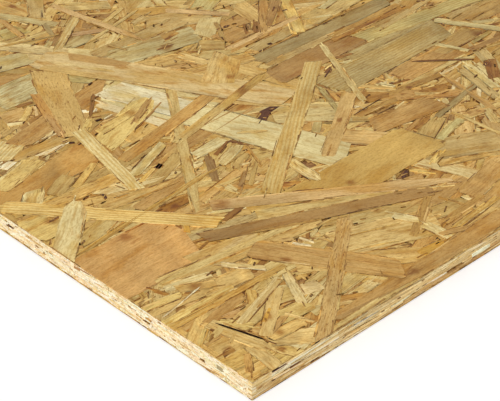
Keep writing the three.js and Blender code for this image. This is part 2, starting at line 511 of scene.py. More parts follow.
def sideReach(start, along, across, half, size, inset):
    # from where to where each long side of a strand lies inside the bed, or None where one doesn't
    reach = []
    for side in (-1, 1):
        nearest, farthest = -1e9, 1e9
        for axis in (0, 1):
            at = start[axis] + across[axis] * half * side
            if abs(along[axis]) < 1e-6:
                if not inset <= at <= size[axis] - inset:
                    return None
                continue
            ends = sorted(((inset - at) / along[axis], (size[axis] - inset - at) / along[axis]))
            nearest, farthest = max(nearest, ends[0]), min(farthest, ends[1])
        if farthest - nearest < laying["leastReach"]:
            return None
        reach.append((nearest, farthest))
    return reach


strandHabits = {
    # what a strand does where its lot doesn't say otherwise; lengths are in millimetres
    "over": False,  # whether it may cover openings of the sheet
    "leastSeen": 0.02,  # it isn't laid where less of it would show
    "thick": 0.07,
    "body": 0.5,  # how far its sides reach down
    "sunk": 0.0,
    "tip": 0.03,  # how much deeper an end may lie
    "lean": 0.02,  # how much deeper a side may lie
    "swell": 0.09,  # how uneven its width is, as a share
    "bow": 0.006,  # how far it bends aside, as a share of its length
    "ragged": 0.22,  # how uneven its ends are, as a share of its width
    "skew": 0.5,  # how slanted its ends are
    "vary": 0.05,  # how much its tone differs from the named one
    "drift": 0.07,  # how much its tone changes along it
    "stretch": 1.0,  # of its grain
    "blot": None,
    "blotted": 0.3,  # how often a long strand has a blot by chance
    "frayed": 0.6,  # how often its ends and sides are frayed
    "splinters": 1.2,  # along 100 mm of each side
}

laying = {
    # what every strand does; lengths are in millimetres
    "leastReach": 0.3,  # how much of each long side has to lie on the bed
    "raggedMost": 2.2,
    "raggedShare": 0.12,  # of the strand's length, which a ragged end may take at most
    "swellMost": 0.8,
    "pressing": 0.3,  # how deep strands lie where they are pressed to about a third
    "thinnest": 0.012,
    "footing": 0.1,  # how much farther out each side reaches below
    "sampling": 0.9,  # of a cell, between the places where a strand meets those laid before it
    "blotLeast": 25,  # how long a strand is that may have a blot by chance
    "blotSizes": (1.5, 5),
    "noBlot": (0, 900, 1),  # far aside
    "rimMoved": {"Soft": 0.8, "sawn": 0.3},  # how far these tones' painted shade and painted highlight along the rim are moved off the strand
    "grainDrift": (-0.05, 0.05),  # how slanted the grain runs
    "grainSpots": (0, 4000),  # where in the wood a strand's grain is taken from
}


def blotOf(draw, how, start, along, across, span, half):
    # where along and across the strand its blot lies, and how large it is
    if how["blot"]:
        x, y, size = how["blot"]
        aside = (x - start[0], y - start[1])
        run = aside[0] * along[0] + aside[1] * along[1]
        return run, aside[0] * across[0] + aside[1] * across[1], size
    if span > laying["blotLeast"] and draw.uniform() < how["blotted"]:
        return draw.uniform(0, span), draw.uniform(-half, half), draw.uniform(*laying["blotSizes"])
    return laying["noBlot"]


def layStrand(bed, draw, start, end, width, tone, form, **how):
    # returns how much of the strand can be seen, or 0 where it isn't laid
    how = {**strandHabits, **how}
    master = masters[form]
    span = np.hypot(end[0] - start[0], end[1] - start[1])
    along = ((end[0] - start[0]) / span, (end[1] - start[1]) / span)
    across = (-along[1], along[0])
    half = width / 2
    size, inset, cell = bed["size"], bed["inset"], bed["cell"]
    reach = sideReach(start, along, across, half, size, inset)
    if reach is None:
        return 0
    most = min(how["ragged"] * width, laying["raggedMost"], span * laying["raggedShare"])
    ragged = draw.uniform(-1, 1, len(master["u"])) * most
    ragged = ragged * master["atEnd"] * (np.abs(master["v"]) < 0.999)
    skew = draw.uniform(-1, 1, 2) * how["skew"]
    bow = draw.uniform(-1, 1) * how["bow"] * span
    wave = min(how["swell"], laying["swellMost"] / half)
    swell = 1 - draw.uniform(0, 1, (len(master["columns"]), 2)) ** 2 * wave * 1.6 + wave * 0.3

    def place(u, v, column, beyond=0.0, notch=0.0):
        # ends that run off the bed are cut straight along its side
        wide = np.where(v > 0, swell[column, 0], swell[column, 1])
        nearest = reach[0][0] + (reach[1][0] - reach[0][0]) * (v + 1) / 2
        farthest = reach[0][1] + (reach[1][1] - reach[0][1]) * (v + 1) / 2
        first = np.where(nearest > 0, nearest, half * v * skew[0] + notch)
        last = np.where(farthest < span, farthest, span + half * v * skew[1] - notch)
        run = np.clip(first + (last - first) * u, nearest, farthest)
        offset = half * v * wide + np.sign(v) * beyond + bow * 4 * u * (1 - u)
        a = np.clip(start[0] + along[0] * run + across[0] * offset, inset, size[0] - inset)
        b = start[1] + along[1] * run + across[1] * offset
        b = np.clip(b, inset + bed["rim"], size[1] - inset - bed["rim"])
        return a, b, run, offset

    count = len(master["columns"])
    order = np.arange(count)
    leftA, leftB, _, _ = place(master["columns"], master["left"], order)
    rightA, rightB, _, _ = place(master["columns"], master["right"], order)
    steps = max(1, math.ceil(span / (count - 1) / cell / laying["sampling"]))
    lanes = max(1, math.ceil(width / cell / laying["sampling"]))
    s = ((np.arange(steps) + 0.5) / steps)[None, :, None]
    t = ((np.arange(lanes) + 0.5) / lanes)[None, None, :]

    def spread(left, right):
        # places all over the upper side, between one bend and the next
        l0, l1 = left[:-1, None, None], left[1:, None, None]
        r0, r1 = right[:-1, None, None], right[1:, None, None]
        return (r0 * (1 - s) + r1 * s) * (1 - t) + (l0 * (1 - s) + l1 * s) * t

    rows, columns = bed["shape"]
    column = np.clip((spread(leftA, rightA) / cell).astype(np.int32), 0, columns - 1)
    row = np.clip((spread(leftB, rightB) / cell).astype(np.int32), 0, rows - 1)
    cells = row * columns + column
    seen = 1 - bed["laid"][cells].mean()
    if seen < how["leastSeen"]:
        return 0
    if not how["over"] and bed["open"][cells].any():
        return 0
    below = bed["free"][cells].max(axis=(1, 2))
    depth = np.maximum(np.append(below, 0), np.insert(below, 0, 0))
    if "level" in how:
        depth = np.full(count, how["level"])
    easing = math.exp(-depth.max() / laying["pressing"])
    tip = draw.uniform(0, 1, 2) * how["tip"] * easing
    lean = draw.uniform(0, 1) * how["lean"] * easing
    depth = depth + how["sunk"] * easing
    depth = depth + tip[0] * (1 - master["columns"]) ** 2 + tip[1] * master["columns"] ** 2
    thick = max(laying["thinnest"], how["thick"] * easing)
    sloped = depth[:-1, None, None] * (1 - s) + depth[1:, None, None] * s
    bed["free"][cells] = np.broadcast_to(sloped + thick + lean, cells.shape)
    bed["laid"][cells] = True
    upper = master["upper"]
    beyond = np.where(upper, 0.0, laying["footing"])
    notch = np.abs(ragged) * np.abs(master["atEnd"])
    a, b, run, offset = place(master["u"], master["v"], master["column"], beyond, notch)
    turn = 1 if draw.uniform() < 0.5 else -1
    deep = depth[master["column"]] + lean * (turn * master["v"] > 0.2)
    deep = np.where(upper, deep, depth.max() + thick + lean + how["body"])
    drift = draw.uniform(*laying["grainDrift"])
    spot = draw.uniform(*laying["grainSpots"], 2)
    blotRun, blotOffset, blotSize = blotOf(draw, how, start, along, across, span, half)
    clear = next((out for word, out in laying["rimMoved"].items() if word in tone), 0.0)
    clear = how.get("clear", clear)
    slab = np.full(len(run), spot[0] * 0.37)
    grain = [run * how["stretch"] + spot[0], offset + drift * run + spot[1], slab]
    rim = [offset, np.full(len(run), half + clear), np.minimum(run, span - run) + clear]
    fromBlot = [(run - blotRun) / blotSize, (offset - blotOffset) / blotSize, np.zeros(len(run))]
    bed["strands"].append({
        "form": form,
        "middle": ((start[0] + end[0]) / 2, (start[1] + end[1]) / 2),
        "points": np.stack([a, b, deep], 1),
        "grain": np.stack(grain, 1),
        "rim": np.stack(rim, 1),
        "blot": np.stack(fromBlot, 1),
        "tone": toneOf(tone, draw, how["vary"]) * driftOf(master, draw, how["drift"]),
        "nature": natureOf(tone, draw),
        "figured": how.get("figured", figuredOf(tone, draw)),
    })
    return seen


splinterTones = ("straw", "cream", "honey", "amber", "brown", "umber", "tan")

# wider is what a strand has to be to have them, share and longest go by the strand's own numbers
sideSplinters = {
    "wider": 4, "length": (5, 26), "longest": 0.6, "aside": (-0.9, 0.3), "slant": (-1.2, 1.2),
    "width": (0.6, 1.6), "otherTone": 0.7,
}
endSplinters = {
    "wider": 3.5, "share": 0.8, "length": (4, 11), "inside": 0.55, "aside": (-0.33, 0.33),
    "width": (0.8, 1.9),
}
sideGapShades = {
    "wider": 3, "share": 0.6, "length": (5, 24), "longest": 0.5, "aside": 0.15, "slant": (-0.4, 0.4),
    "width": (0.5, 1.1),
}


def layFrayed(bed, draw, start, end, width, tone, form, **how):
    # a strand with splinters that hide parts of its sides, and thin dark strips beside it that paint the
    # shade of gaps
    how = {**strandHabits, **how}
    start = np.array(start, float)
    reach = np.array(end, float) - start
    span = np.hypot(reach[0], reach[1])
    along = reach / span
    across = np.array((-along[1], along[0]))
    plain = {"over": how["over"], "thick": 0.015, "tip": 0.0, "lean": 0.0, "leastSeen": 0.3}

    def beside(length, offset, slant):
        first = start + along * draw.uniform(0, span - length) + across * offset
        return first, first + along * length + across * slant

    for side in (-1, 1):
        wanted = draw.poisson(how["splinters"] * span / 100) if width > sideSplinters["wider"] else 0
        for _ in range(wanted):
            length = min(draw.uniform(*sideSplinters["length"]), span * sideSplinters["longest"])
            offset = side * (width / 2 + draw.uniform(*sideSplinters["aside"]))
            line = beside(length, offset, draw.uniform(*sideSplinters["slant"]))
            isOther = draw.uniform() < sideSplinters["otherTone"]
            other = splinterTones[draw.integers(len(splinterTones))] if isOther else tone
            layStrand(bed, draw, *line, draw.uniform(*sideSplinters["width"]), other, "chip", **plain)
    for place, way in ((0, -1), (span, 1)):
        if width > endSplinters["wider"] and draw.uniform() < how["frayed"] * endSplinters["share"]:
            length = draw.uniform(*endSplinters["length"])
            inner = start + along * (place - way * length * endSplinters["inside"])
            inner = inner + across * width * draw.uniform(*endSplinters["aside"])
            outer = inner + along * way * length
            layStrand(bed, draw, inner, outer, draw.uniform(*endSplinters["width"]), tone, "chip", **plain)
    seen = layStrand(bed, draw, start, end, width, tone, form, **how)
    # dark strips beside the strand, painted shade of gaps along its sides
    if seen and width > sideGapShades["wider"]:
        for side in (-1, 1):
            if draw.uniform() < how["frayed"] * sideGapShades["share"]:
                length = min(draw.uniform(*sideGapShades["length"]), span * sideGapShades["longest"])
                offset = side * (width / 2 + sideGapShades["aside"])
                line = beside(length, offset, draw.uniform(*sideGapShades["slant"]))
                layStrand(bed, draw, *line, draw.uniform(*sideGapShades["width"]), "hollow", "chip", **plain)
    return seen


# how plainly a strand shows its fibres; a tone's name may end in how the strand is marked
fibreStrengths = {"Stripe": (0.35, 0.6), "Smooth": (0.25, 0.35), "Soft": (0.4, 0.6), "": (0.45, 1.0)}


def markingOf(tone):
    return next(marking for marking in fibreStrengths if tone.endswith(marking))


def figuredOf(tone, draw):
    return draw.uniform(*fibreStrengths[markingOf(tone)])


def toneOf(tone, draw, vary):
    base = linearTone(woodTones[tone.removesuffix(markingOf(tone))])
    light = 1 + draw.normal() * vary
    warm = draw.normal() * vary * 0.4
    return np.clip(base * light * np.array([1 + warm * 0.4, 1, 1 - warm]), 0.01, 0.95)


def driftOf(master, draw, reach):
    # how much lighter or darker a strand is at each place along it
    shares = 1 + draw.normal(size=(len(master["columns"]), 2)) * reach
    side = (master["v"] > 0).astype(int)
    return shares[master["column"], side][:, None]


def natureOf(tone, draw):
    # how banded, how stained and how open-pored a strand is
    if tone.startswith("sawn"):
        return np.array([0.0, 0.15, 0.1])
    banded = draw.uniform(0, 0.35) ** 1.5
    if tone.endswith("Stripe"):
        banded = draw.uniform(0.6, 0.9)
    elif tone.endswith(("Smooth", "Soft")):
        banded = 0.05
    return np.array([banded, draw.uniform(0, 1), draw.uniform(0, 1) ** 2])


def joinStrands(bed, name, strands):
    # one mesh of the given strands of a bed
    start, along, up, out = axesOf(bed)
    points, corners, sides = [], [], []
    attributes = {"grain": [], "rim": [], "blot": [], "nature": [], "tone": []}
    used = 0
    for strand in strands:
        master = masters[strand["form"]]
        placed = strand["points"] / 1000
        points.append(start + placed[:, :1] * along + placed[:, 1:2] * up - placed[:, 2:] * out)
        corners.append(master["corners"] + used)
        sides.append(master["sides"])
        count = len(placed)
        used += count
        for key in ("grain", "rim", "blot"):
            attributes[key].append(strand[key])
        attributes["tone"].append(np.concatenate([strand["tone"], np.full((count, 1), strand["figured"])], 1))
        attributes["nature"].append(np.broadcast_to(strand["nature"], (count, 3)))
    points = np.concatenate(points).astype(np.float32)
    corners = np.concatenate(corners).astype(np.int32)
    sides = np.concatenate(sides).astype(np.int32)
    mesh = bpy.data.meshes.new(name)
    mesh.vertices.add(len(points))
    mesh.loops.add(len(corners))
    mesh.polygons.add(len(sides))
    mesh.vertices.foreach_set("co", points.ravel())
    mesh.loops.foreach_set("vertex_index", corners)
    mesh.polygons.foreach_set("loop_start", np.concatenate([[0], np.cumsum(sides)[:-1]]).astype(np.int32))
    for key, values in attributes.items():
        isTone = key == "tone"
        layer = mesh.attributes.new(key, "FLOAT_COLOR" if isTone else "FLOAT_VECTOR", "POINT")
        values = np.concatenate(values).astype(np.float32).ravel()
        layer.data.foreach_set("color" if isTone else "vector", values)
    mesh.update(calc_edges=True)
    mesh.validate()
    piece = bpy.data.objects.new(name, mesh)
    bpy.context.scene.collection.objects.link(piece)
    mesh.materials.append(strandWood)
    bpy.ops.object.select_all(action="DESELECT")
    bpy.context.view_layer.objects.active = piece
    piece.select_set(True)
    bpy.ops.object.shade_smooth_by_angle(angle=math.radians(25))
    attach(piece, "root")
    print(name, len(strands), "strands,", int((sides - 2).sum()), "triangles")
    return piece


def markOpenings(bed, deepest, margin):
    # marks the cells under which the solid has an opening, down to the given depth
    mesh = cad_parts["osb_panel"].data
    mesh.calc_loop_triangles()
    points = np.empty(len(mesh.vertices) * 3)
    mesh.vertices.foreach_get("co", points)
    points = points.reshape(-1, 3)
    start, along, up, out = axesOf(bed)
    local = np.stack([(points - start) @ along, (points - start) @ up, (start - points) @ out], 1) * 1000
    triangles = np.empty(len(mesh.loop_triangles) * 3, np.int32)
    mesh.loop_triangles.foreach_get("vertices", triangles)
    local = local[triangles.reshape(-1, 3)]
    size = bed["size"]
    inside = (local[:, :, 2] <= deepest).all(1) & (local[:, :, 2].max(1) > 0.01)
    for axis in (0, 1):
        inside &= (local[:, :, axis] > margin).all(1) & (local[:, :, axis] < size[axis] - margin).all(1)
    opened = bed["open"].reshape(bed["shape"])
    cell = bed["cell"]
    for corners in local[inside][:, :, :2]:
        firstColumn, firstRow = np.maximum((corners.min(0) / cell).astype(int), 0)
        lastColumn, lastRow = (corners.max(0) / cell).astype(int) + 1
        a = (np.arange(firstColumn, lastColumn) + 0.5) * cell
        b = (np.arange(firstRow, lastRow) + 0.5) * cell
        gridA, gridB = np.meshgrid(a, b)
        signs = []
        for i in range(3):
            p, q = corners[i], corners[(i + 1) % 3]
            signs.append((q[0] - p[0]) * (gridB - p[1]) - (q[1] - p[1]) * (gridA - p[0]))
        signs = np.array(signs)
        hit = (signs >= 0).all(0) | (signs <= 0).all(0)
        window = opened[firstRow:lastRow, firstColumn:lastColumn]
        window |= hit[:window.shape[0], :window.shape[1]]


# strands round the front left corner of the upper face, outermost first: from, to, width, tone, form
# and, on some, the place and size of a blot
cornerStrands = [
    (44, -3, 131, 64, 8.5, "tan", "flake"),
    (53, 79, 68, 60, 4.5, "chalk", "flake"),
    (72.5, 51, 60, 26, 5.5, "cream", "flake"),
    (116, 52, 148, 40, 1.2, "golden", "sliver"),
    (113, 40, 138, 28, 1.2, "butter", "sliver"),
    (257, 205, 226, 140, 4.5, "oliveCream", "flake"),
    (281, 152, 311, 127, 2.2, "bark", "sliver"),
    (331, 178, 353, 140, 6.5, "flax", "flake"),
    (309, 156, 317, 136, 3.2, "flax", "plank"),
    (147, 166, 162, 155, 2.5, "straw", "sliver"),
    (117, 108, 239, 194, 11, "strawStripe", "plank"),
    (-5, 137, 38, 176, 14, "linen", "wedge"),
    (3, 200, 80, 106, 11.5, "butterStripe", "plank"),
    (68, 161, 83, 232, 9, "linenStripe", "plank"),
    (2, 136, 112, 147, 3.6, "goldenStripe", "sliver"),
    (148, 124, 146, 98, 8, "primrose", "wedge"),
    (86, 122, 200, 48, 10, "blush", "wedge", (91, 119, 9)),
    (84, 88.5, 122, 70.5, 2.2, "ochre", "sliver"),
    (62, 103, 185, 49, 10, "umberSmooth", "plank"),
    (-4, 57, 77, 56, 4.5, "maizeStripe", "plank"),
    (74, 79, 119, 10, 17, "clay", "flake", (80, 58, 5)),
    (114, 182, 206, 203, 6.5, "straw", "flake", (182, 197, 7)),
    (120, 305, 142, 268, 3.6, "creamSoft", "sliver"),
    (113, 303, 139, 256, 5.5, "honeySoft", "wedge"),
    (133, 303, 153, 268, 8, "brownSoft", "flake"),
    (206, 236, 176, 214, 20, "sandSoft", "flake", (188, 215.5, 4.6)),
    (118, 314, 198, 172, 24, "peachSmooth", "flake"),
    (80, 189, 166, 208, 9, "amber", "flake"),
    (154, 231, 77, 122, 6.5, "straw", "wedge", (131, 191, 4)),
    (112, 215.5, 136, 229, 4.2, "brown", "slat"),
    (90, 221, 128, 226, 7, "corn", "slat", (118, 224, 6)),
    (84, 209, 138, 230, 17, "cornSmooth", "wedge", (120, 222, 6)),
    (90.5, 281, 73, 233, 6, "rose", "slat"),
    (114, 298, 76, 228, 22, "honeySmooth", "wedge"),
    (97, 237, 116, 257, 2.4, "hollow", "sliver"),
    (168, 362, 180, 288, 5.5, "blush", "wedge"),
    (216, 306, 243, 273, 6, "blush", "flake"),
    (151, 217.5, 187, 169, 3.6, "honey", "sliver"),
    (-3, 35, 12, 45.5, 2.2, "corn", "sliver"),
    (5.5, 37, 11.5, 39.5, 3.4, "golden", "chip"),
    (4, 54.5, 9, 55.5, 1.6, "walnut", "chip"),
    (10, 38, 18, 40, 4, "strawSoft", "slat"),
    (12, 28, 20, 33, 3, "honeySoft", "chip"),
    (15.5, 47, 24, 11, 8, "sand", "wedge"),
    (48, 27, 54, 12, 3, "sand", "chip"),
    (57, 4, 200, 7, 11, "brown", "flake", (121, 6, 4)),
    (54, 1.7, 112, 1.7, 3, "straw", "plank"),
    (36, 29, 46, 35, 3, "resin", "chip"),
    (26, 36, 68, 50, 5, "cream", "flake"),
    (42, 43, 50, 53, 6, "golden", "slat"),
    (27, 40, 48, 45, 4, "honey", "slat"),
    (24, 45, 42, 42, 5, "rose", "slat"),
    (19.5, 43.5, 30, 30, 7.5, "corn", "wedge"),
    (15, 47.5, 45, 52, 7, "brown", "slat"),
    (48, 50, 64, 52, 6, "straw", "slat"),
    (28, 20, 61, 45, 7, "sand", "flake", (40, 31, 5)),
    (22, 33, 50, 38.5, 9, "straw", "flake"),
    (29, 20, 47, 25.5, 4, "brown", "slat"),
    (28, 18, 51, 16, 7.5, "saffron", "flake", (36, 18, 4)),
    (27, 19, 53, 0, 12, "sand", "flake"),
    (-4, 38.5, 22, 55, 10, "saffron", "flake"),
    (1.7, 26, 1.7, 60, 3, "saffron", "plank"),
    (3, 23.5, 11, 23.5, 4.4, "rust", "chip"),
    (-4, 29.5, 22, 27, 13, "honey", "flake", (8, 25, 4)),
    (4, 6, 13, 17, 4, "amber", "slat"),
    (18.5, 22, 16, -3, 8, "sand", "flake"),
    (24, 17, 33, -3, 7, "butter", "slat", (28, 8, 3)),
    (-4, 18, 17, 15, 13, "golden", "flake"),
    (-4, 6.3, 20, 6, 11, "saffron", "flake"),
    (-4, 1.65, 30, 1.65, 3.1, "corn", "plank"),
    (-4, 13.6, 24, 13.6, 26, "corn", "plank"),
    (14, 4, 58, 7, 9, "primrose", "plank"),
    (70, 15, 82, 9, 2.5, "primrose", "slat"),
    (72, 18, 90, 9, 5, "amber", "slat"),
    (134, 14, 152, 12, 7, "resin", "slat"),
    (155, 18.5, 172, 12, 4, "brown", "slat"),
    (150, 10, 190, 12, 5, "brown", "slat"),
    (165, 17, 205, 20, 5, "goldenStripe", "slat"),
    (156, 32, 158, 8, 8, "linen", "slat"),
    (165, 24, 200, 27, 5, "ochre", "slat"),
    (183, 40, 186, 26, 4, "ochre", "chip"),
    (150, 48, 157, 34, 6, "linen", "slat"),
    (143, 27, 178, 47, 5, "ochre", "slat"),
    (108, 50, 165, 28, 24, "sand", "flake"),
    (90, 73, 97, 69, 4, "tan", "chip"),
    (93, 67, 99, 58, 2.5, "chalk", "chip"),
    (99, 68, 102, 59, 2.5, "white", "chip"),
    (190, 72, 196, 63, 4, "corn", "chip"),
    (-2, 78, 22, 74, 5, "corn", "slat"),
    (2, 66, 33, 72, 1.2, "chalk", "sliver"),
    (-2, 72, 35, 66, 5, "honey", "slat"),
    (0, 62, 45, 60, 5, "cornStripe", "plank"),
    (14, 86, 17, 78, 4, "rust", "chip"),
    (0, 83, 8, 83, 6, "sand", "chip"),
    (22, 79, 41, 68, 7, "honey", "flake", (31, 73.5, 6)),
    (30, 68, 62, 64, 12, "honey", "flake", (33, 73, 4.5)),
    (18, 83, 45, 76, 6, "primrose", "slat"),
    (18, 84, 120, 70, 7, "honey", "flake"),
    (18, 89, 110, 76, 9, "straw", "flake"),
    (97, 98, 168, 61.5, 9, "straw", "plank"),
    (98, 106, 134, 91, 9, "golden", "flake"),
    (114, 88.5, 224, 90, 32, "maizeSmooth", "flake", (157, 85, 4)),
    (44, 93, 86, 86, 9, "peach", "wedge"),
    (50, 0, 98, 37, 6, "tan", "flake"),
    (60, 142.3, 108, 149.5, 0.8, "butter", "sliver"),
    (12, 139.5, 46, 140.5, 0.8, "umber", "sliver"),
    (60, 155, 91, 151, 1.1, "amber", "sliver"),
    (60, 112, 65, 118, 5, "resin", "chip"),
    (81, 107, 100, 110, 3.6, "hollow", "plank"),
    (-4, 112.5, 60, 111.5, 47, "apricot", "plank", (34, 131, 6)),
    (55, 147, 102, 150.5, 8, "brown", "flake"),
    (40, 162, 93, 150, 9, "honey", "flake"),
    (12, 142, 60, 155, 12, "straw", "flake"),
    (62, 136, 84, 136, 8, "rust", "slat", (72, 135, 4)),
    (64, 128, 86, 125, 9, "tan", "flake"),
    (45, 186, 68, 198, 5, "golden", "slat"),
    (15, 188, 28, 200, 12, "ivory", "slat"),
    (30, 188, 50, 198, 10, "dun", "slat"),
    (20, 182, 70, 178, 10, "saffron", "flake"),
    (72, 165, 92, 172, 3, "butter", "slat"),
    (75, 173, 110, 187, 6, "ivory", "flake"),
    (57, 172, 60, 158, 9, "sand", "chip"),
    (63, 155, 110, 172, 9, "dun", "flake"),
    (-4, 170, 30, 168, 25, "corn", "flake", (16, 170, 6)),
    (11, 213, 47, 223.5, 13, "primrose", "flake"),
    (4, 203, 76, 209, 24, "amberSmooth", "plank"),
    (82, 118, 106, 106, 7, "ivory", "slat"),
    (167, 166, 177, 171, 7.5, "pitch", "chip"),
    (172, 171, 186, 172, 8, "pitch", "chip"),
    (122, 157, 138, 163, 3.5, "hollow", "chip"),
    (138, 163, 142, 155, 3, "bark", "chip"),
    (118, 148, 140, 156, 7, "oliveCream", "slat"),
    (113, 165, 138, 166, 9, "ivory", "flake"),
    (119, 160, 104, 137, 5, "walnut", "slat"),
    (167, 113, 178, 120, 1.6, "brown", "chip"),
    (166, 112, 228, 153, 9, "tan", "flake", (200, 135, 2.5)),
    (126, 256, 146, 200, 22, "milkSmooth", "plank"),
    (123.5, 258, 175.5, 104, 27, "ivorySmooth", "plank"),
    (131, 256, 152, 194, 27, "ivory", "plank"),
    (113, 247, 127, 196, 12, "whiteSmooth", "flake"),
    (133, 131, 142, 152, 2.5, "ochre", "chip"),
    (110, 124, 124, 134, 4, "umber", "chip"),
    (105, 130, 106, 122, 8, "oliveCream", "chip"),
    (115, 121, 135, 137, 3, "dun", "slat"),
    (138, 142, 150, 138, 18, "oliveCream", "chip"),
    (104, 158, 113, 157, 7, "primrose", "chip"),
    (125, 140, 131, 138, 3, "cream", "chip"),
    (120, 147.5, 138, 150, 5, "dun", "slat"),
    (121, 139, 137, 147, 5.5, "dun", "wedge"),
    (128, 135, 139, 142, 5, "honey", "chip"),
    (104, 142, 118, 146, 6, "dun", "slat"),
    (100, 133, 118, 131, 4, "straw", "chip"),
    (206, 140, 219, 170, 4, "sage", "wedge"),
    (176, 168, 212, 138, 22, "oliveCream", "flake"),
    (205, 145, 215, 160, 5, "sage", "chip"),
    (180, 135, 210, 160, 6, "flax", "slat"),
    (186, 125, 206, 100, 16, "tan", "flake"),
    (85, 228, 97, 236, 8, "corn", "chip"),
    (99, 239, 111, 234, 5, "honey", "chip"),
    (95.5, 247.5, 101, 244.5, 4.5, "chalk", "chip"),
    (102, 230, 109, 231, 2.5, "chalk", "chip"),
    (102, 240, 107, 243, 3, "chalk", "chip"),
    (97, 227, 108, 224, 5, "amber", "chip"),
    (46, 243, 136, 263, 15, "brown", "flake"),
    (73, 276, 84, 274.5, 4.5, "hollow", "chip"),
    (57, 264, 66, 259, 5, "primrose", "chip"),
    (64, 260, 80, 271, 4.5, "butter", "slat"),
    (76, 260, 82, 270, 3, "blush", "chip"),
    (28, 238, 49, 247, 17, "linenStripe", "flake"),
    (26.5, 228.5, 36.5, 230.5, 9, "chalk", "chip"),
    (36, 233, 72, 230, 9, "honey", "flake"),
    (49, 225, 68, 225.5, 5.5, "chalk", "slat"),
    (30, 213, 52, 229, 5, "cream", "slat", (40, 227, 3)),
    (54, 262, 58, 276, 9, "dun", "chip"),
    (56, 270, 75, 269, 12, "tan", "flake"),
    (66, 289, 110, 292, 24, "hay", "plank"),
    (116, 284, 130, 268, 12, "reed", "slat"),
    (229, 272, 216, 250, 3.5, "drab", "slat"),
    (233, 247, 241, 258, 2.6, "hollow", "slat"),
    (238, 244, 248, 255, 5, "hollow", "chip"),
    (244, 242, 254, 256, 4, "brown", "slat"),
    (241, 242, 274, 274, 6, "brown", "flake"),
    (249, 246, 282, 270, 8, "umber", "flake"),
    (212, 241, 272, 241, 4.6, "blush", "plank"),
    (210, 237.5, 246, 237.5, 3, "amber", "slat"),
    (258, 225, 292, 278, 9, "corn", "flake"),
    (215, 253, 238, 252, 15, "brown", "flake"),
    (254, 226, 263, 240, 5, "butter", "chip"),
    (232, 246, 243, 256, 5, "walnut", "chip"),
    (272, 237, 290, 228, 4, "ivory", "chip"),
    (290, 238, 315, 243, 5, "flax", "slat"),
    (272, 233, 318, 236, 16, "straw", "flake"),
    (220, 230, 262, 232, 9, "khaki", "flake"),
    (170, 236, 216, 224, 11, "honeyStripe", "flake", (188, 228, 3)),
    (183, 257, 190, 236, 8, "sand", "slat"),
    (193, 249, 202, 256, 1.8, "primrose", "chip"),
    (190, 255, 195, 252, 4, "rust", "chip"),
    (156, 263, 190, 250, 13, "honey", "flake"),
    (164, 249, 181, 243, 10, "brown", "flake"),
    (200, 258, 214, 246, 13, "dun", "flake"),
    (160, 297, 165, 283, 2, "dun", "sliver"),
    (190, 279, 203, 280, 11, "ochre", "chip"),
    (210, 263, 232, 279, 14, "oliveCreamSoft", "flake"),
    (148, 281, 212, 269, 21, "flax", "flake", (184, 268, 7)),
    (145, 292, 216, 289, 13, "khaki", "flake", (161, 294, 4)),
    (194, 301, 235, 283, 20, "khaki", "flake"),
    (222, 286, 252, 300, 16, "reed", "flake"),
    (212, 225, 324, 223, 1.5, "ochre", "sliver"),
    (214, 209, 268, 209, 6, "khaki", "flake"),
    (212, 218, 330, 217, 13, "moss", "plank"),
    (265, 209, 331, 208, 5, "ochre", "plank"),
    (265, 204, 331, 203, 4.5, "rust", "plank"),
    (206, 197, 280, 198, 20, "umber", "flake"),
    (331, 203, 350, 210, 10, "ochre", "slat"),
    (300, 194, 353, 199, 5, "khaki", "slat"),
    (342, 193, 350, 194, 3.5, "umber", "chip"),
    (280, 194, 388, 178, 13, "reedStripe", "plank"),
    (298, 199, 335, 198, 5, "drab", "slat"),
    (240, 183, 247, 184, 4, "butter", "chip"),
    (250, 180, 256, 178, 4, "flax", "chip"),
    (233, 178, 241, 182, 4, "bark", "chip"),
    (250, 187, 263, 184, 4, "hollow", "chip"),
    (250, 183, 325, 183, 9, "olive", "flake"),
    (222, 166, 331, 170, 26, "oliveStripe", "plank"),
    (340, 175, 370, 173, 5, "khaki", "slat"),
    (338, 168, 388, 167, 12, "drab", "flake"),
    (347, 158, 360, 151, 6, "olive", "chip"),
    (351, 149, 358, 146, 4, "hollow", "chip"),
    (326, 141.5, 346, 143, 3, "sage", "slat"),
    (318, 137, 346, 133, 5, "umber", "slat"),
    (336, 160, 380, 160, 9, "drab", "flake"),
    (300, 150, 346, 152, 14, "drab", "flake", (338, 148, 6)),
    (216, 150, 219, 160, 4, "amber", "chip"),
    (213, 148, 214, 160, 3, "straw", "chip"),
    (216, 139, 220, 137, 2.5, "chalk", "chip"),
    (228, 140, 243, 134, 8, "rust", "chip"),
    (210, 131, 242, 128, 5, "ochre", "slat"),
    (232, 121, 243, 123, 2, "cream", "chip"),
    (208, 117, 258, 110, 18, "brown", "plank"),
    (224, 98, 241, 101, 4, "rust", "sliver"),
    (254, 104, 259, 111, 3, "white", "chip"),
    (243, 98, 288, 107, 4.5, "moss", "flake"),
    (282, 126, 274, 78, 4.5, "brown", "sliver"),
    (254, 96, 256, 60, 3, "straw", "slat"),
    (264, 95, 273, 92, 8, "ochre", "chip"),
    (258, 88, 270, 84, 8, "brown", "chip", (266, 86, 2)),
    (259, 79, 264, 80, 3, "hollow", "chip"),
    (225, 81, 252, 87, 6, "reed", "slat"),
    (246, 90, 252, 94, 6, "umber", "chip"),
    (220, 87, 244, 98, 13, "dun", "flake"),
    (205, 68, 218, 72, 5, "corn", "chip"),
    (263, 70, 275, 90, 6, "oliveCream", "slat"),
    (204, 82, 252, 56, 22, "khaki", "flake"),
    (206, 66, 242, 50, 10, "honey", "flake"),
    (302, 103, 318, 121, 8, "hollow", "flake", (312, 118, 5)),
    (309, 123, 300, 97, 5, "ivory", "slat"),
    (303, 126, 294, 95, 7, "ivory", "flake"),
    (296, 125, 286, 88, 7, "khaki", "flake"),
    (302, 135, 314, 129, 5, "flax", "chip"),
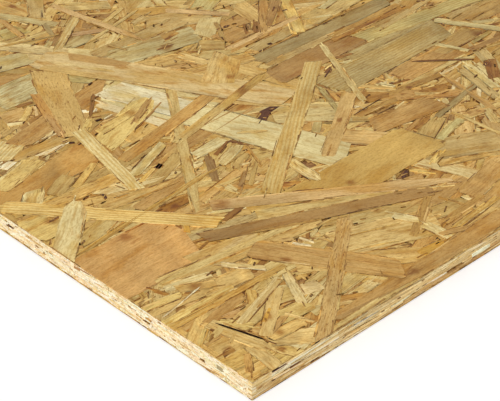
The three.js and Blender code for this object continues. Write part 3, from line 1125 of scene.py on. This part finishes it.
    (236, 148, 246, 137, 5, "oliveCream", "chip"),
    (253, 125, 262, 117, 6, "oliveCream", "chip"),
    (247, 148, 252, 138, 5, "ivory", "chip"),
    (255, 148, 259, 142, 3, "oliveCream", "chip"),
    (241, 135, 283, 129, 5, "ochre", "slat", (257, 132, 2.5)),
    (255, 135, 312, 134, 4, "straw", "slat"),
    (262, 143, 330, 143, 22, "brown", "flake"),
    (258, 121, 276, 118, 12, "rust", "chip", (266, 120, 3)),
    (172, 355, 196, 336, 12, "straw", "flake"),
    (184, 334, 186, 338, 3, "white", "chip"),
    (194, 346, 199, 342, 4, "white", "chip"),
    (184, 333, 200, 345, 13, "amber", "flake"),
    (178, 321, 199, 328, 3.5, "straw", "slat"),
    (152, 307, 205, 319, 3, "straw", "sliver"),
    (152, 322, 174, 312, 5, "fawn", "slat"),
    (133, 313, 172, 341, 5.5, "oliveCreamStripe", "flake"),
    (143, 330, 149, 346, 3.5, "moss", "slat"),
    (130, 320, 138, 325, 6, "flax", "chip"),
    (148, 330, 154, 335, 2.5, "amber", "chip"),
    (153, 353, 159, 361, 2.2, "moss", "chip"),
    (150, 354, 172, 388, 11, "khaki", "flake"),
    (157, 345, 163, 350, 5, "ochre", "chip"),
    (132, 380, 154, 338, 8, "flax", "flake"),
    (128, 340, 133, 372, 4.5, "brown", "slat"),
    (138, 398, 148, 360, 18, "honey", "flake", (149, 378, 3)),
    (110, 341, 147, 328, 2.6, "dun", "sliver"),
    (106, 348, 137, 306, 11, "cream", "flake"),
    (116, 322, 134, 296, 12, "cream", "flake"),
    (88, 325, 118, 318, 17, "flax", "flake"),
    (138, 314, 162, 314, 12, "olive", "flake"),
    (190, 306, 206, 309, 6, "khaki", "slat"),
    (188, 319, 194, 311, 5, "rust", "chip"),
    (196, 318, 224, 296, 18, "honey", "flake"),
    (104, 337, 146, 333, 10, "straw", "flake"),
    (118, 352, 136, 350, 14, "reed", "flake"),
    (96, 203, 122, 205, 10, "saffron", "flake"),
    (38, 27, 64, 24, 11, "corn", "flake"),
    (63, 36, 79, 31, 9, "peach", "flake"),
    (46, 44, 67, 36, 14, "oliveCream", "flake"),
    (76, 22, 99, 24, 10, "straw", "flake"),
    (82, 13, 100, 14, 7, "cream", "flake"),
    (192, 18, 222, 24, 14, "tan", "flake"),
    (194, 32, 232, 40, 15, "clay", "flake"),
    (162, 35, 190, 29, 11, "dun", "flake"),
]

# small openings round the same corner, each painted as dark flush slivers on top that stand in for its shade:
# where, length, width, turn
cornerGaps = [
    (22.4, 31.5, 32, 2.2, -72), (34, 58.5, 4, 1, 5), (66, 67, 4, 1.8, 40), (44, 77, 6, 1.8, 10),
    (79, 18.5, 5, 1.5, -25), (86, 14.5, 3.5, 1.3, -30), (45, 13, 8, 1.2, -2), (33, 2, 4, 1, 10),
    (93, 32, 4, 1.2, 40), (68, 28, 3, 1.8, 30), (73, 38, 3.5, 1.4, 35), (76.5, 39.5, 3, 1.2, 60),
    (80, 40.5, 3, 1.3, 20), (85, 44, 3, 1.2, 45), (74, 46, 3, 1.1, 20), (66, 48.5, 3, 1, -60),
    (36, 44, 5, 1, 5), (43, 40, 5, 1, 20), (108, 69, 4, 1.2, -25), (108, 17, 3.5, 1.2, 60),
    (130, 56, 3.5, 1.6, -20), (136, 56, 4, 1.2, -25), (118.5, 64.5, 6, 0.9, -25),
    (128.5, 65, 5, 0.9, -25), (148, 45, 3, 1.2, 60), (151, 26, 4, 1.1, 10), (148, 14, 3, 1.4, 0),
    (168, 36, 3, 1.1, 30), (175, 32, 7, 1.4, 30), (160, 49, 3.5, 1.2, -25), (177, 52, 4, 1.2, -20),
    (168, 59, 4, 1.1, -25), (17, 170, 8, 2.2, 2), (42, 174, 5, 1.5, 20), (46, 164, 4, 1.4, 0),
    (50.5, 168.5, 6, 2.6, 75), (42, 174, 5, 1.6, 5), (40, 167.4, 4, 1.2, -10), (74, 168, 4, 1.4, 15),
    (73, 164.5, 3, 1, 0), (91.8, 170.3, 6.5, 5, 25), (184.5, 70, 10, 3.6, 25), (98.5, 172.5, 9, 1, 20),
    (94, 159, 3, 1.8, 50), (15, 143, 4, 1.8, 30), (21, 145, 3, 1, 30), (55, 123, 4, 1, 10),
    (86, 181.5, 18, 0.9, 22), (170, 167, 5, 3.4, 0), (180, 171, 4, 2.6, 30), (138, 149, 3, 2, 0),
    (121, 141, 3, 1.4, 40), (117.5, 131, 11, 1, 34), (126, 126, 3, 1.8, 50), (105, 153, 3, 1.3, 20),
    (178, 132.5, 4, 1.2, 30), (119, 183, 3, 1.2, 10), (147, 189, 3.5, 1.2, 15), (232, 142, 5, 1.8, 10),
    (223, 134, 29, 0.8, 4), (228, 123.5, 19, 1, 0), (231, 122, 2.6, 2.2, 0), (233, 87, 25, 1, 24),
    (262, 90.5, 5, 1.5, 15), (253, 142.5, 3.2, 2.8, 0), (259, 141, 3, 1.3, 40), (255, 138, 3, 1.2, 0),
    (262, 126, 3, 1.3, 40), (276, 126, 3, 1.2, 60), (278, 131, 3, 1, 0), (286, 131, 4, 1, 10),
    (274, 115, 4, 1.2, 60), (296, 113, 5, 2, 20), (235, 74.5, 4, 1, 10), (247, 73, 3, 1.3, 40),
    (244, 77, 3, 1.2, 0), (210, 66, 9, 1.2, 15), (234, 227.5, 4.4, 3.4, 0), (238.5, 229.5, 4, 1, 25),
    (225, 225, 7, 1.8, 0), (253, 223, 4, 1.6, 0), (278, 222.5, 4, 1.6, 0), (294, 222, 4, 1.5, 0),
    (316, 225, 3, 1.3, 0), (218, 184, 3.5, 1.4, 20), (233, 237, 4, 1.4, 15), (297, 226, 4, 1.2, 30),
    (345, 192, 4, 1.6, 0), (307.5, 196.6, 7, 0.9, 2), (345, 200.8, 7, 2.2, -30),
    (347, 163, 3.4, 1.8, -60), (356, 161.8, 14, 0.8, 3), (346, 170.8, 13, 0.9, 4),
    (372, 169, 14, 0.8, -3), (342, 145.5, 6.5, 1.5, 8), (319.5, 133.5, 3.4, 1.5, -20),
    (324.5, 132.6, 4, 1.1, 10), (295, 125, 5, 1, 35), (311.5, 118.5, 5, 3.6, 30),
    (316, 119, 3, 1.8, 60), (314, 113, 5, 1.6, 45), (325, 123, 4.5, 0.9, 10), (309.5, 158, 5, 1.2, 5),
    (331, 170, 4.6, 2.2, 80), (290, 98, 6, 0.9, 62), (283.5, 91.5, 9, 0.9, 22), (284, 107, 8, 1.2, 5),
    (66, 259.5, 3.4, 1.6, 30), (72, 263, 2.4, 1, 20), (82.5, 270, 2.4, 1.4, 30), (70, 227, 4, 2, -10),
    (72, 223, 4.4, 3.2, -30), (74.5, 219, 3, 2, 20), (51, 224, 4, 1.2, -20), (45, 229, 1.8, 1.2, 30),
    (37, 231.5, 2.2, 1.6, 0), (62, 236, 9, 1.2, 12), (50.5, 245, 4.5, 0.9, 35),
    (90.5, 243.5, 5, 1.4, 30), (99, 231.5, 5, 3, -5), (115, 252.5, 4.5, 1.6, 15),
    (110, 250.5, 3, 1, 30), (88, 220.5, 3.6, 1.6, 20), (96, 223, 2.6, 1, 5), (85.5, 233, 6, 1.4, 45),
    (111, 210.8, 4, 1.5, 25), (106, 207.5, 2.6, 1, 20), (114.5, 207.5, 5, 1, 25),
    (98, 198.5, 10, 0.8, 5), (108, 203.5, 2.4, 0.9, 45), (132, 259, 5, 1.2, 10), (122, 267, 5, 2.4, 20),
    (128, 268.5, 3, 1.4, 10), (230, 263, 5, 3.4, 10), (224, 264, 4, 1.6, 20), (236, 262, 4, 1.6, -20),
    (268, 259, 8, 2, 35), (272, 253, 5, 2.2, 0), (275, 271, 5, 1.5, 40), (225, 261.5, 3.6, 1.4, 35),
    (241, 268.5, 5.4, 1.8, 52), (217.5, 253, 6, 1.6, 65), (237.5, 252.5, 9, 1.2, 55),
    (243, 248.5, 5, 1.4, 50), (247, 283.5, 5, 1.4, 60), (223, 290, 2.6, 2, 0), (233, 293, 4.4, 1.1, 20),
    (202, 293, 3.4, 1.8, 30), (197.5, 295.5, 4.6, 1.4, 50), (191, 297, 3, 1, 30), (158, 305, 5, 1.4, 5),
    (170, 297, 3.6, 1.8, 30), (171.5, 307, 4, 1.2, 80), (174, 304.5, 5, 1.2, 80),
    (176.5, 303, 3, 1, 75), (184, 269.5, 15, 2.2, -6), (188, 262.6, 8, 1.5, -8),
    (156, 286.5, 6, 0.9, -5), (166, 267, 4, 1, 0), (177, 252, 3.4, 2, 70), (175, 242.5, 4, 1.4, -45),
    (165.5, 257.5, 3, 0.8, 45), (167.5, 253.5, 4, 1, 65), (195, 249.5, 3.4, 0.8, 30),
    (198, 239.2, 1.8, 0.8, 30), (205, 204, 6, 1, 5), (216, 205, 9, 1, 10), (131.5, 334.5, 2.8, 2.2, 0),
    (132, 340, 2.2, 1.8, 80), (127.5, 328, 7, 1.6, -8), (141, 344.5, 9, 1.1, 12),
    (143, 349, 3.4, 1.6, 50), (136, 348.5, 3.6, 1.1, 30), (138, 356, 3.4, 1, 30),
    (129, 342, 3.6, 1.8, 0), (161.5, 342, 4.4, 2, -50), (158.5, 345, 2.6, 1.1, 30),
    (158, 349.5, 3, 1.4, 45), (164.5, 351, 3.6, 1.6, 10), (169, 366, 4.6, 1.6, -20),
    (168, 362, 3, 1, -20), (178, 330.5, 4, 1.7, 10), (181.5, 330, 2.4, 1.4, 45),
    (201, 336.5, 4.4, 1.8, 80), (197, 330, 3, 0.9, 70), (148.5, 320, 23, 0.9, 36),
    (184, 316.5, 7, 0.9, 15), (196, 319.5, 3, 0.9, 30), (95, 319.5, 4.4, 1.6, 45), (177, 336, 4, 1, 80),
    (182, 337, 3, 0.9, 50), (142, 353, 3, 0.9, 20),
]

# how often each tone comes among strands that are laid by chance
faceMix = {
    "straw": 11, "strawStripe": 5, "honey": 9, "honeyStripe": 4, "tan": 9, "rose": 9, "cream": 5,
    "oliveCream": 6, "olive": 4, "brown": 7, "amber": 4, "cornStripe": 4, "golden": 5, "umber": 4,
    "blush": 3, "ivory": 3, "creamStripe": 3, "sand": 4, "flax": 3, "khaki": 5, "dun": 5, "drab": 3,
    "moss": 2, "sage": 3, "reed": 3, "fawn": 4, "white": 1,
}

crumbMix = {
    "straw": 20, "cream": 12, "honey": 12, "golden": 6, "tan": 8, "amber": 7, "white": 6, "brown": 8,
    "umber": 7, "dun": 8, "oliveCream": 5, "bark": 2, "hollow": 2,
}

fillMix = {
    "straw": 5, "honey": 5, "tan": 4, "brown": 4, "khaki": 3, "dun": 4, "cream": 2, "oliveCream": 3,
    "umber": 2, "amber": 2,
}

# mostly darker tones, painted shade for the strands that lie lowest
underMix = {"amber": 4, "brown": 4, "tan": 4, "umber": 3, "honey": 4, "straw": 4, "golden": 2, "bark": 1}


def pickFrom(mix, draw, count):
    names = list(mix)
    weights = np.array([mix[name] for name in names], float)
    return [names[i] for i in draw.choice(len(names), count, p=weights / weights.sum())]


def bareSpots(bed, area, draw, count):
    # places in the area that nothing covers yet
    rows, columns = bed["shape"]
    cell = bed["cell"]
    c0, r0 = max(0, int(area[0] / cell)), max(0, int(area[1] / cell))
    c1, r1 = min(columns, int(area[2] / cell)), min(rows, int(area[3] / cell))
    laid = bed["laid"].reshape(rows, columns)[r0:r1, c0:c1]
    opened = bed["open"].reshape(rows, columns)[r0:r1, c0:c1]
    bare = np.flatnonzero(~(laid | opened))
    if not len(bare):
        return np.zeros((0, 2)), 0.0
    chosen = draw.choice(bare, count)
    places = np.stack([(chosen % (c1 - c0) + c0 + 0.5) * cell, (chosen // (c1 - c0) + r0 + 0.5) * cell], 1)
    return places, len(bare) / laid.size


scattering = {
    "widest": 0.6,  # of a strand's length
    "before": (0.3, 0.7),  # the share of a strand that lies before its chosen place
    "leastGain": 0.03,  # the share of a batch that has to be laid for the work to go on
}


def scatter(bed, draw, area, lot):
    # lays strands over bare places until the wanted share is covered
    for _ in range(lot["rounds"]):
        laid = 0
        places, bare = bareSpots(bed, area, draw, lot["batch"])
        if bare <= lot["bareLeft"]:
            break
        tones = pickFrom(lot["tones"], draw, len(places))
        forms = pickFrom(lot["forms"], draw, len(places))
        for place, tone, form in zip(places, tones, forms):
            length = draw.uniform(*lot["length"])
            width = min(draw.uniform(*lot["width"]), length * scattering["widest"])
            loose = draw.uniform() < lot["loose"]
            turn = draw.uniform(-90, 90) if loose else draw.normal() * lot["spread"]
            share = draw.uniform(*scattering["before"])
            step = np.array([math.cos(math.radians(turn)), math.sin(math.radians(turn))]) * length
            start = place - step * share
            lay = layFrayed if lot.get("frayed") else layStrand
            if lay(bed, draw, start, start + step, width, tone, form, **lot["how"]):
                laid += 1
        if laid < lot["batch"] * scattering["leastGain"]:
            break


# a lot is laid in rounds of one batch each, until no more than bareLeft of the area is bare; loose is
# the share that lies any way, and spread is how far the others turn from the sheet's length
bigLot = {
    "rounds": 12, "batch": 200, "bareLeft": 0.22, "tones": faceMix,
    "forms": {"plank": 3, "flake": 5, "wedge": 1},
    "length": (80, 150), "width": (9, 30), "loose": 0.35, "spread": 17, "frayed": True,
    "how": {"leastSeen": 0.3, "frayed": 0.3},
}

middleLot = {
    "rounds": 14, "batch": 250, "bareLeft": 0.07, "tones": faceMix,
    "forms": {"slat": 4, "wedge": 3, "sliver": 1},
    "length": (40, 110), "width": (4, 15), "loose": 0.5, "spread": 25, "frayed": True,
    "how": {"leastSeen": 0.15, "frayed": 0.2},
}

bitLot = {
    "rounds": 12, "batch": 400, "bareLeft": 0.012, "tones": crumbMix, "forms": {"chip": 6, "slat": 2},
    "length": (9, 36), "width": (2, 7), "loose": 0.6, "spread": 30,
    "how": {"leastSeen": 0.2, "tip": 0.15, "lean": 0.08},
}

underLot = {
    "rounds": 14, "batch": 200, "bareLeft": 0.0015, "tones": underMix, "forms": {"chip": 1},
    "length": (12, 34), "width": (3, 9), "loose": 0.5, "spread": 30,
    "how": {"leastSeen": 0.02, "tip": 0.1, "lean": 0.05, "sunk": 0.12},
}

# how the painted shade of an opening is laid: flush over everything
gapHow = {
    "over": True, "thick": 0.01, "tip": 0.0, "lean": 0.0, "leastSeen": 0.0, "drift": 0.2, "vary": 0.12,
    "clear": 0.8,
}

# the painted shade of an opening that is wider or longer than this, the largest first
gapShadeTones = ((2.2, 25, "pitch"), (1.5, 15, "bark"), (1.2, math.inf, "hollow"), (0, 0, "rust"))


def layGapShade(bed, draw, place, length, width, turn):
    # painted shade of an opening: dark slivers of uneven outline laid flush on top, with fibres across the
    # larger ones
    def part(tone, form, share, wide, run=0.0, aside=0.0, slant=0.0):
        # share and run go by the opening's length, wide and aside by its width
        angle = math.radians(turn + slant)
        step = np.array([math.cos(angle), math.sin(angle)]) * length / 2
        across = np.array([-step[1], step[0]]) / (length / 2)
        middle = place + step * run + across * width * aside
        layStrand(bed, draw, middle - step * share, middle + step * share, width * wide, tone, form, **gapHow)

    if width > 1.6 and draw.uniform() < 0.7:
        fibre = splinterTones[draw.integers(len(splinterTones))]
        run = draw.uniform(-0.4, 0.4)
        part(fibre, "chip", 0.45, 0.3, run, 0.0, draw.choice((-1, 1)) * draw.uniform(25, 70))
    deepest = next(tone for wide, long, tone in gapShadeTones if width > wide or length > long)
    part(deepest, "sliver", 0.9, 0.6)
    # the larger ones get a less dark painted shade at their sides
    if width > 1.5 and length < 25:
        side = "bark" if width > 2.2 else "umber"
        part(side, "chip", 0.45, 0.5, draw.uniform(-0.6, 0), 0.25, draw.uniform(-14, 14))
        part("hollow", "chip", 0.4, 0.5, draw.uniform(0, 0.6), -0.25, draw.uniform(-14, 14))


rimBits = {"strip": 1.5, "width": (1.6, 3.2), "length": (5, 14), "before": 2, "after": 1, "spare": 0.01}

# neighbours differ in depth, so that no two of their upper sides are in one plane
rimLine = {
    "width": 3.6, "step": 60, "overlap": 3, "spare": 0.01,
    "depth": 0.37, "nextDeeper": 0.02, "shortSideDeeper": 0.01,
}
rimHow = {"over": True, "leastSeen": 0.0, "tip": 0.0, "lean": 0.0, "thick": 0.03}


def alongSide(axis, first, last, offset):
    # the two ends of a strand that lies along a side
    start, end = np.array((first, offset)), np.array((last, offset))
    return (start[::-1], end[::-1]) if axis else (start, end)


def fillRims(bed, draw, begin, extent):
    # small strands along the sides of a bed, where it is still bare
    cell, inset, size = bed["cell"], bed["inset"], bed["size"]
    bare = ~bed["laid"].reshape(bed["shape"])
    strip = math.ceil(rimBits["strip"] / cell)
    for axis, sides in ((0, (bare[:strip], bare[-strip:])), (1, (bare[:, :strip], bare[:, -strip:]))):
        for far, side in enumerate(sides):
            line = np.flatnonzero(side.any(axis=axis)) * cell
            done = -1.0
            for at in line[line < extent]:
                if at < done:
                    continue
                width = draw.uniform(*rimBits["width"])
                done = at + draw.uniform(*rimBits["length"])
                offset = inset + width / 2 + rimBits["spare"]
                if far:
                    offset = size[1 - axis] - inset - width / 2 - rimBits["spare"]
                ends = alongSide(axis, at - rimBits["before"], done + rimBits["after"], offset)
                layStrand(bed, draw, *ends, width, pickFrom(crumbMix, draw, 1)[0], "chip", **rimHow)
    # and a line of long strands at a depth of its own, which hides the cut ends of the edges' strands
    aside = rimLine["width"] / 2 + rimLine["spare"]
    for axis in (0, 1):
        for offset in (inset + aside, size[1 - axis] - inset - aside):
            for i, at in enumerate(np.arange(begin, min(extent, size[axis]), rimLine["step"])):
                first = at - rimLine["overlap"]
                last = at + (rimLine["step"] + rimLine["overlap"])
                ends = alongSide(axis, first, last, offset)
                level = rimLine["depth"] + rimLine["nextDeeper"] * (i % 2) + rimLine["shortSideDeeper"] * axis
                how = dict(rimHow, level=level, swell=0.0, bow=0.0)
                layStrand(bed, draw, *ends, rimLine["width"], "dun", "plank", **how)


faceLaying = {
    "cornerCell": 0.5,
    "lowerCell": 1.0,
    "inset": 0.03,
    "openingDepth": 2.3,  # strands keep clear of the sheet's openings that lie in this depth
    "openingMargin": 8.5,  # and this far from its sides
    "plot": 625,  # strands are laid in one square plot after the other
    "parts": 4,  # pieces that a face is joined into, one after the other along the sheet
}

cornerRegion = (0, 0, 420, 420)

cornerHow = {"over": True, "blotted": 0, "vary": 0.015, "drift": 0.085, "frayed": 0.6, "splinters": 2.6}


def drawFor(x, y):
    # numbers that depend on the place alone, so that a change to one strand leaves the others
    return np.random.default_rng([round(x * 10) + 1000, round(y * 10) + 1000])


def scatterAll(bed, draw, lot):
    plot = faceLaying["plot"]
    for i in range(math.ceil(bed["size"][0] / plot)):
        for j in range(math.ceil(bed["size"][1] / plot)):
            far = min(bed["size"][0], (i + 1) * plot), min(bed["size"][1], (j + 1) * plot)
            scatter(bed, draw, (i * plot, j * plot, *far), lot)


def isCorner(strand):
    return strand["middle"][0] < cornerRegion[2] and strand["middle"][1] < cornerRegion[3]


def joinFace(bed, name, strands):
    # a strand whose middle lies past an end of the sheet goes to the part at that end
    parts = [[] for _ in range(faceLaying["parts"])]
    for strand in strands:
        i = int(strand["middle"][0] / sheetLength * len(parts))
        parts[min(max(i, 0), len(parts) - 1)].append(strand)
    for i, share in enumerate(parts):
        if share:
            joinStrands(bed, f"{name}_{i + 1}", share)


def layCorner(bed, draw):
    for x, y, length, width, turn in cornerGaps:
        layGapShade(bed, drawFor(x, y), np.array((x, y)), length, width, turn)
    for fromA, fromB, toA, toB, width, tone, form, *blot in cornerStrands:
        how = dict(cornerHow, blot=blot[0] if blot else None)
        lay = layStrand if tone.endswith("Soft") else layFrayed
        if not lay(bed, drawFor(fromA, fromB), (fromA, fromB), (toA, toB), width, tone, form, **how):
            print("the corner strand from", fromA, fromB, "is not laid")
    scatter(bed, draw, cornerRegion, dict(middleLot, batch=60, bareLeft=0.08, tones=fillMix))
    scatter(bed, draw, cornerRegion, dict(bitLot, batch=80, bareLeft=0.03))
    scatter(bed, draw, cornerRegion, underLot)
    fillRims(bed, draw, 0, cornerRegion[2])
    print("corner laid:", len(bed["strands"]))


def layUpperFace():
    bed = beds["upper"]
    clearBed(bed, faceLaying["cornerCell"], faceLaying["inset"])
    markOpenings(bed, faceLaying["openingDepth"], faceLaying["openingMargin"])
    draw = np.random.default_rng(5)
    layCorner(bed, draw)
    coarsenBed(bed)
    for lot in (bigLot, middleLot, bitLot):
        scatterAll(bed, draw, lot)
    fillRims(bed, draw, cornerRegion[2], sheetLength)
    print("upper face laid:", len(bed["strands"]))
    joinStrands(bed, "upper_corner", [strand for strand in bed["strands"] if isCorner(strand)])
    joinFace(bed, "upper_face", [strand for strand in bed["strands"] if not isCorner(strand)])


layUpperFace()


def layLowerFace():
    bed = beds["lower"]
    clearBed(bed, faceLaying["lowerCell"], faceLaying["inset"])
    markOpenings(bed, faceLaying["openingDepth"], faceLaying["openingMargin"])
    draw = np.random.default_rng(6)
    plain = {"frayed": False, "forms": {"wedge": 2, "slat": 5}}
    for lot in (dict(bigLot, **plain), dict(middleLot, **plain), dict(bitLot, bareLeft=0.03, batch=250)):
        scatterAll(bed, draw, lot)
    fillRims(bed, draw, 0, sheetLength)
    joinFace(bed, "lower_face", bed["strands"])


layLowerFace()


edgeCut = {
    "cell": 0.2,
    "body": 2.6,  # how far the cut strands reach into the sheet
    "relief": 0.03,
    "inset": 0.1,  # left to the strands of the other edges
    "rim": 0.35,  # left as well to the strands of the faces
    "openingDepth": 9.0,  # strands keep clear of all of the sheet's openings in this depth
    "openingMargin": -1.0,
    "step": 50,  # strands are laid in one stretch of this length after the other
    "quickSteps": 5,
    "lowBand": 3.2,  # the height up to which a long edge is darker
    "lowBatch": 60,
}

# marks on the two edges that meet at the front left corner, placed from that corner: from and to
# along the edge, height, thickness, tone
# the thin dark marks are painted shade on the floors of slits in the edges
frontMarks = [
    (13, 26, 8.3, 1.2, "sawnWhite"), (24, 38, 8.8, 1.2, "sawnWhite"), (160, 175, 4.9, 2.4, "sawnWhite"),
    (13.5, 23, 9.95, 0.6, "pitch"), (25.5, 32.5, 5.7, 0.5, "bark"), (39.5, 46, 1.15, 0.5, "bark"),
    (141, 154, 3.45, 0.9, "umber"), (13, 15.5, 4.7, 0.5, "bark"), (98, 106, 2.0, 0.6, "umber"),
    (102, 104.5, 7.0, 0.5, "bark"), (62, 64, 4.0, 0.5, "bark"), (90, 92.5, 5.0, 0.5, "bark"),
    (116, 118.5, 5.5, 0.5, "umber"), (121, 124, 5.4, 0.5, "bark"), (120, 122.5, 9.0, 0.5, "umber"),
    (169, 171.5, 11.0, 0.5, "umber"), (177, 180, 8.0, 0.5, "umber"),
    (56.5, 59, 11.6, 0.6, "bark"),
]
leftMarks = [
    (20, 25, 6.6, 2.6, "grey"), (33, 37, 4.05, 0.4, "umber"), (74, 79, 4.3, 0.4, "umber"),
    (184.5, 189.5, 6.55, 0.4, "bark"), (26, 28, 1.5, 0.6, "brown"), (48, 50, 4.0, 0.6, "brown"),
    (54, 56.5, 5.0, 0.7, "umber"), (65, 67.5, 9.5, 0.6, "umber"), (72, 77, 7.0, 1.0, "amber"),
    (78, 84, 5.0, 0.7, "amber"),
    (151, 153.5, 7.0, 0.6, "umber"), (154, 156.5, 6.5, 0.5, "brown"), (157, 159, 4.0, 0.5, "umber"),
    (163, 165.5, 5.3, 0.6, "umber"), (180, 182.5, 9.5, 0.6, "umber"),
    (188, 190.5, 6.0, 0.5, "umber"), (189, 191.5, 8.7, 0.5, "umber"), (33.5, 36, 11.6, 0.7, "amber"),
    (49, 51, 11.6, 0.6, "umber"), (83, 88, 11.7, 0.5, "umber"), (137, 139.5, 11.6, 0.6, "umber"),
]

longEdgeMix = {"sawnWhite": 16, "sawnCream": 54, "sawnStraw": 24, "sawnPink": 8, "sawnTan": 4, "sawnBrown": 1}
lowEdgeMix = {"sawnWhite": 8, "sawnCream": 22, "sawnStraw": 36, "sawnTan": 27, "sawnBrown": 6}
shortEdgeMix = {
    "sawnWhite": 50, "sawnPink": 40, "sawnCream": 8, "sawnStraw": 3, "sawnTan": 2, "sawnBrown": 0.5,
}

edgeHow = {
    "leastSeen": 0.3, "thick": edgeCut["relief"], "body": edgeCut["body"], "tip": 0.02, "lean": 0.01,
}
longEdgeLot = {
    "rounds": 20, "batch": 120, "bareLeft": 0.03, "tones": longEdgeMix,
    "forms": {"sliver": 3, "slat": 3, "wedge": 2},
    "length": (14, 70), "width": (0.7, 1.9), "loose": 0.0, "spread": 1.6,
    "how": {**edgeHow, "bow": 0.004, "figured": 0.6},
}
shortEdgeLot = {
    "rounds": 20, "batch": 160, "bareLeft": 0.03, "tones": shortEdgeMix,
    "forms": {"slat": 3, "chip": 4},
    "length": (3, 16), "width": (0.6, 1.7), "loose": 0.04, "spread": 6,
    "how": {**edgeHow, "bow": 0.01, "stretch": 6.0, "drift": 0.03, "figured": 0.3},
}


def layEdge(name, marks, lot, seed):
    bed = beds[name]
    clearBed(bed, edgeCut["cell"], edgeCut["inset"], edgeCut["rim"])
    markOpenings(bed, edgeCut["openingDepth"], edgeCut["openingMargin"])
    draw = np.random.default_rng(seed)
    markHow = dict(lot["how"], over=True)
    for first, last, height, thickness, tone in marks:
        line = (first, height), (last, height)
        layStrand(bed, drawFor(first, height), *line, thickness, tone, "slat", **markHow)
    step = edgeCut["step"]
    steps = math.ceil(bed["size"][0] / step)
    for i in range(steps):
        first = step * (steps - 1 - i if name == "left" else i)  # the corner's end comes first
        if lot is longEdgeLot:
            lowLot = dict(lot, tones=lowEdgeMix, batch=edgeCut["lowBatch"])
            scatter(bed, draw, (first, 0, first + step, edgeCut["lowBand"]), lowLot)
        scatter(bed, draw, (first, 0, first + step, bed["size"][1]), lot)
    joinStrands(bed, name + "_edge", bed["strands"])


def fromFarEnd(marks):
    # the same marks, placed from the other end of the short edge
    return [(sheetWidth - last, sheetWidth - first, *others) for first, last, *others in marks]


layEdge("front", frontMarks, longEdgeLot, 21)
layEdge("left", fromFarEnd(leftMarks), shortEdgeLot, 22)
layEdge("back", [], longEdgeLot, 23)
layEdge("right", [], shortEdgeLot, 24)


# the core is the wood under the strands and shows only in the deepest gaps; its tones are darker than the
# strands', painted shade for those gaps
core = {
    "faceRecess": 1.7,
    "edgeRecess": 2.9,
    "bevel": 0.8,
    "roughness": 0.8,
    "speckles": 320.0,  # to a metre
    "darkTone": (128, 86, 46),
    "lightTone": (190, 144, 84),
}


def makeCoreWood():
    material, tree = makeMaterial("coreWood")
    place = addNode(tree, "TexCoord", {}).outputs["Object"]
    speckle = addNoise(tree, place, core["speckles"], 3.0, 0.6)
    tones = {name: (*linearTone(core[tone]), 1) for name, tone in (("A", "darkTone"), ("B", "lightTone"))}
    share = addRange(tree, speckle, 0.35, 0.7)
    ramp = addNode(tree, "Mix", {"Factor": share, **tones}, data_type="RGBA")
    inputs = {"Base Color": ramp.outputs["Result"], "Roughness": core["roughness"]}
    shader = addNode(tree, "BsdfPrincipled", inputs)
    addNode(tree, "OutputMaterial", {0: shader.outputs[0]})
    return material


def makeCore():
    bpy.ops.object.select_all(action="DESELECT")
    recesses = (core["edgeRecess"], core["edgeRecess"], core["faceRecess"])
    sheetSize = (sheetLength, sheetWidth, sheetThickness)
    size = [(sheetSize[i] - 2 * recesses[i]) / 1000 for i in range(3)]
    middle = [(low[i] + high[i]) / 2 for i in range(3)]
    bpy.ops.mesh.primitive_cube_add(size=1, location=middle, scale=size)
    mat = bpy.context.object
    bpy.ops.object.transform_apply(location=True, rotation=True, scale=True)
    bpy.ops.object.mode_set(mode="EDIT")
    bpy.ops.mesh.select_all(action="SELECT")
    bpy.ops.mesh.bevel(offset=core["bevel"] / 1000, segments=1)
    bpy.ops.object.mode_set(mode="OBJECT")
    mat.name = "core_mat"
    mat.data.materials.clear()
    mat.data.materials.append(makeCoreWood())
    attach(mat, "root")
    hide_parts("osb_panel")


makeCore()
print("core is ready")
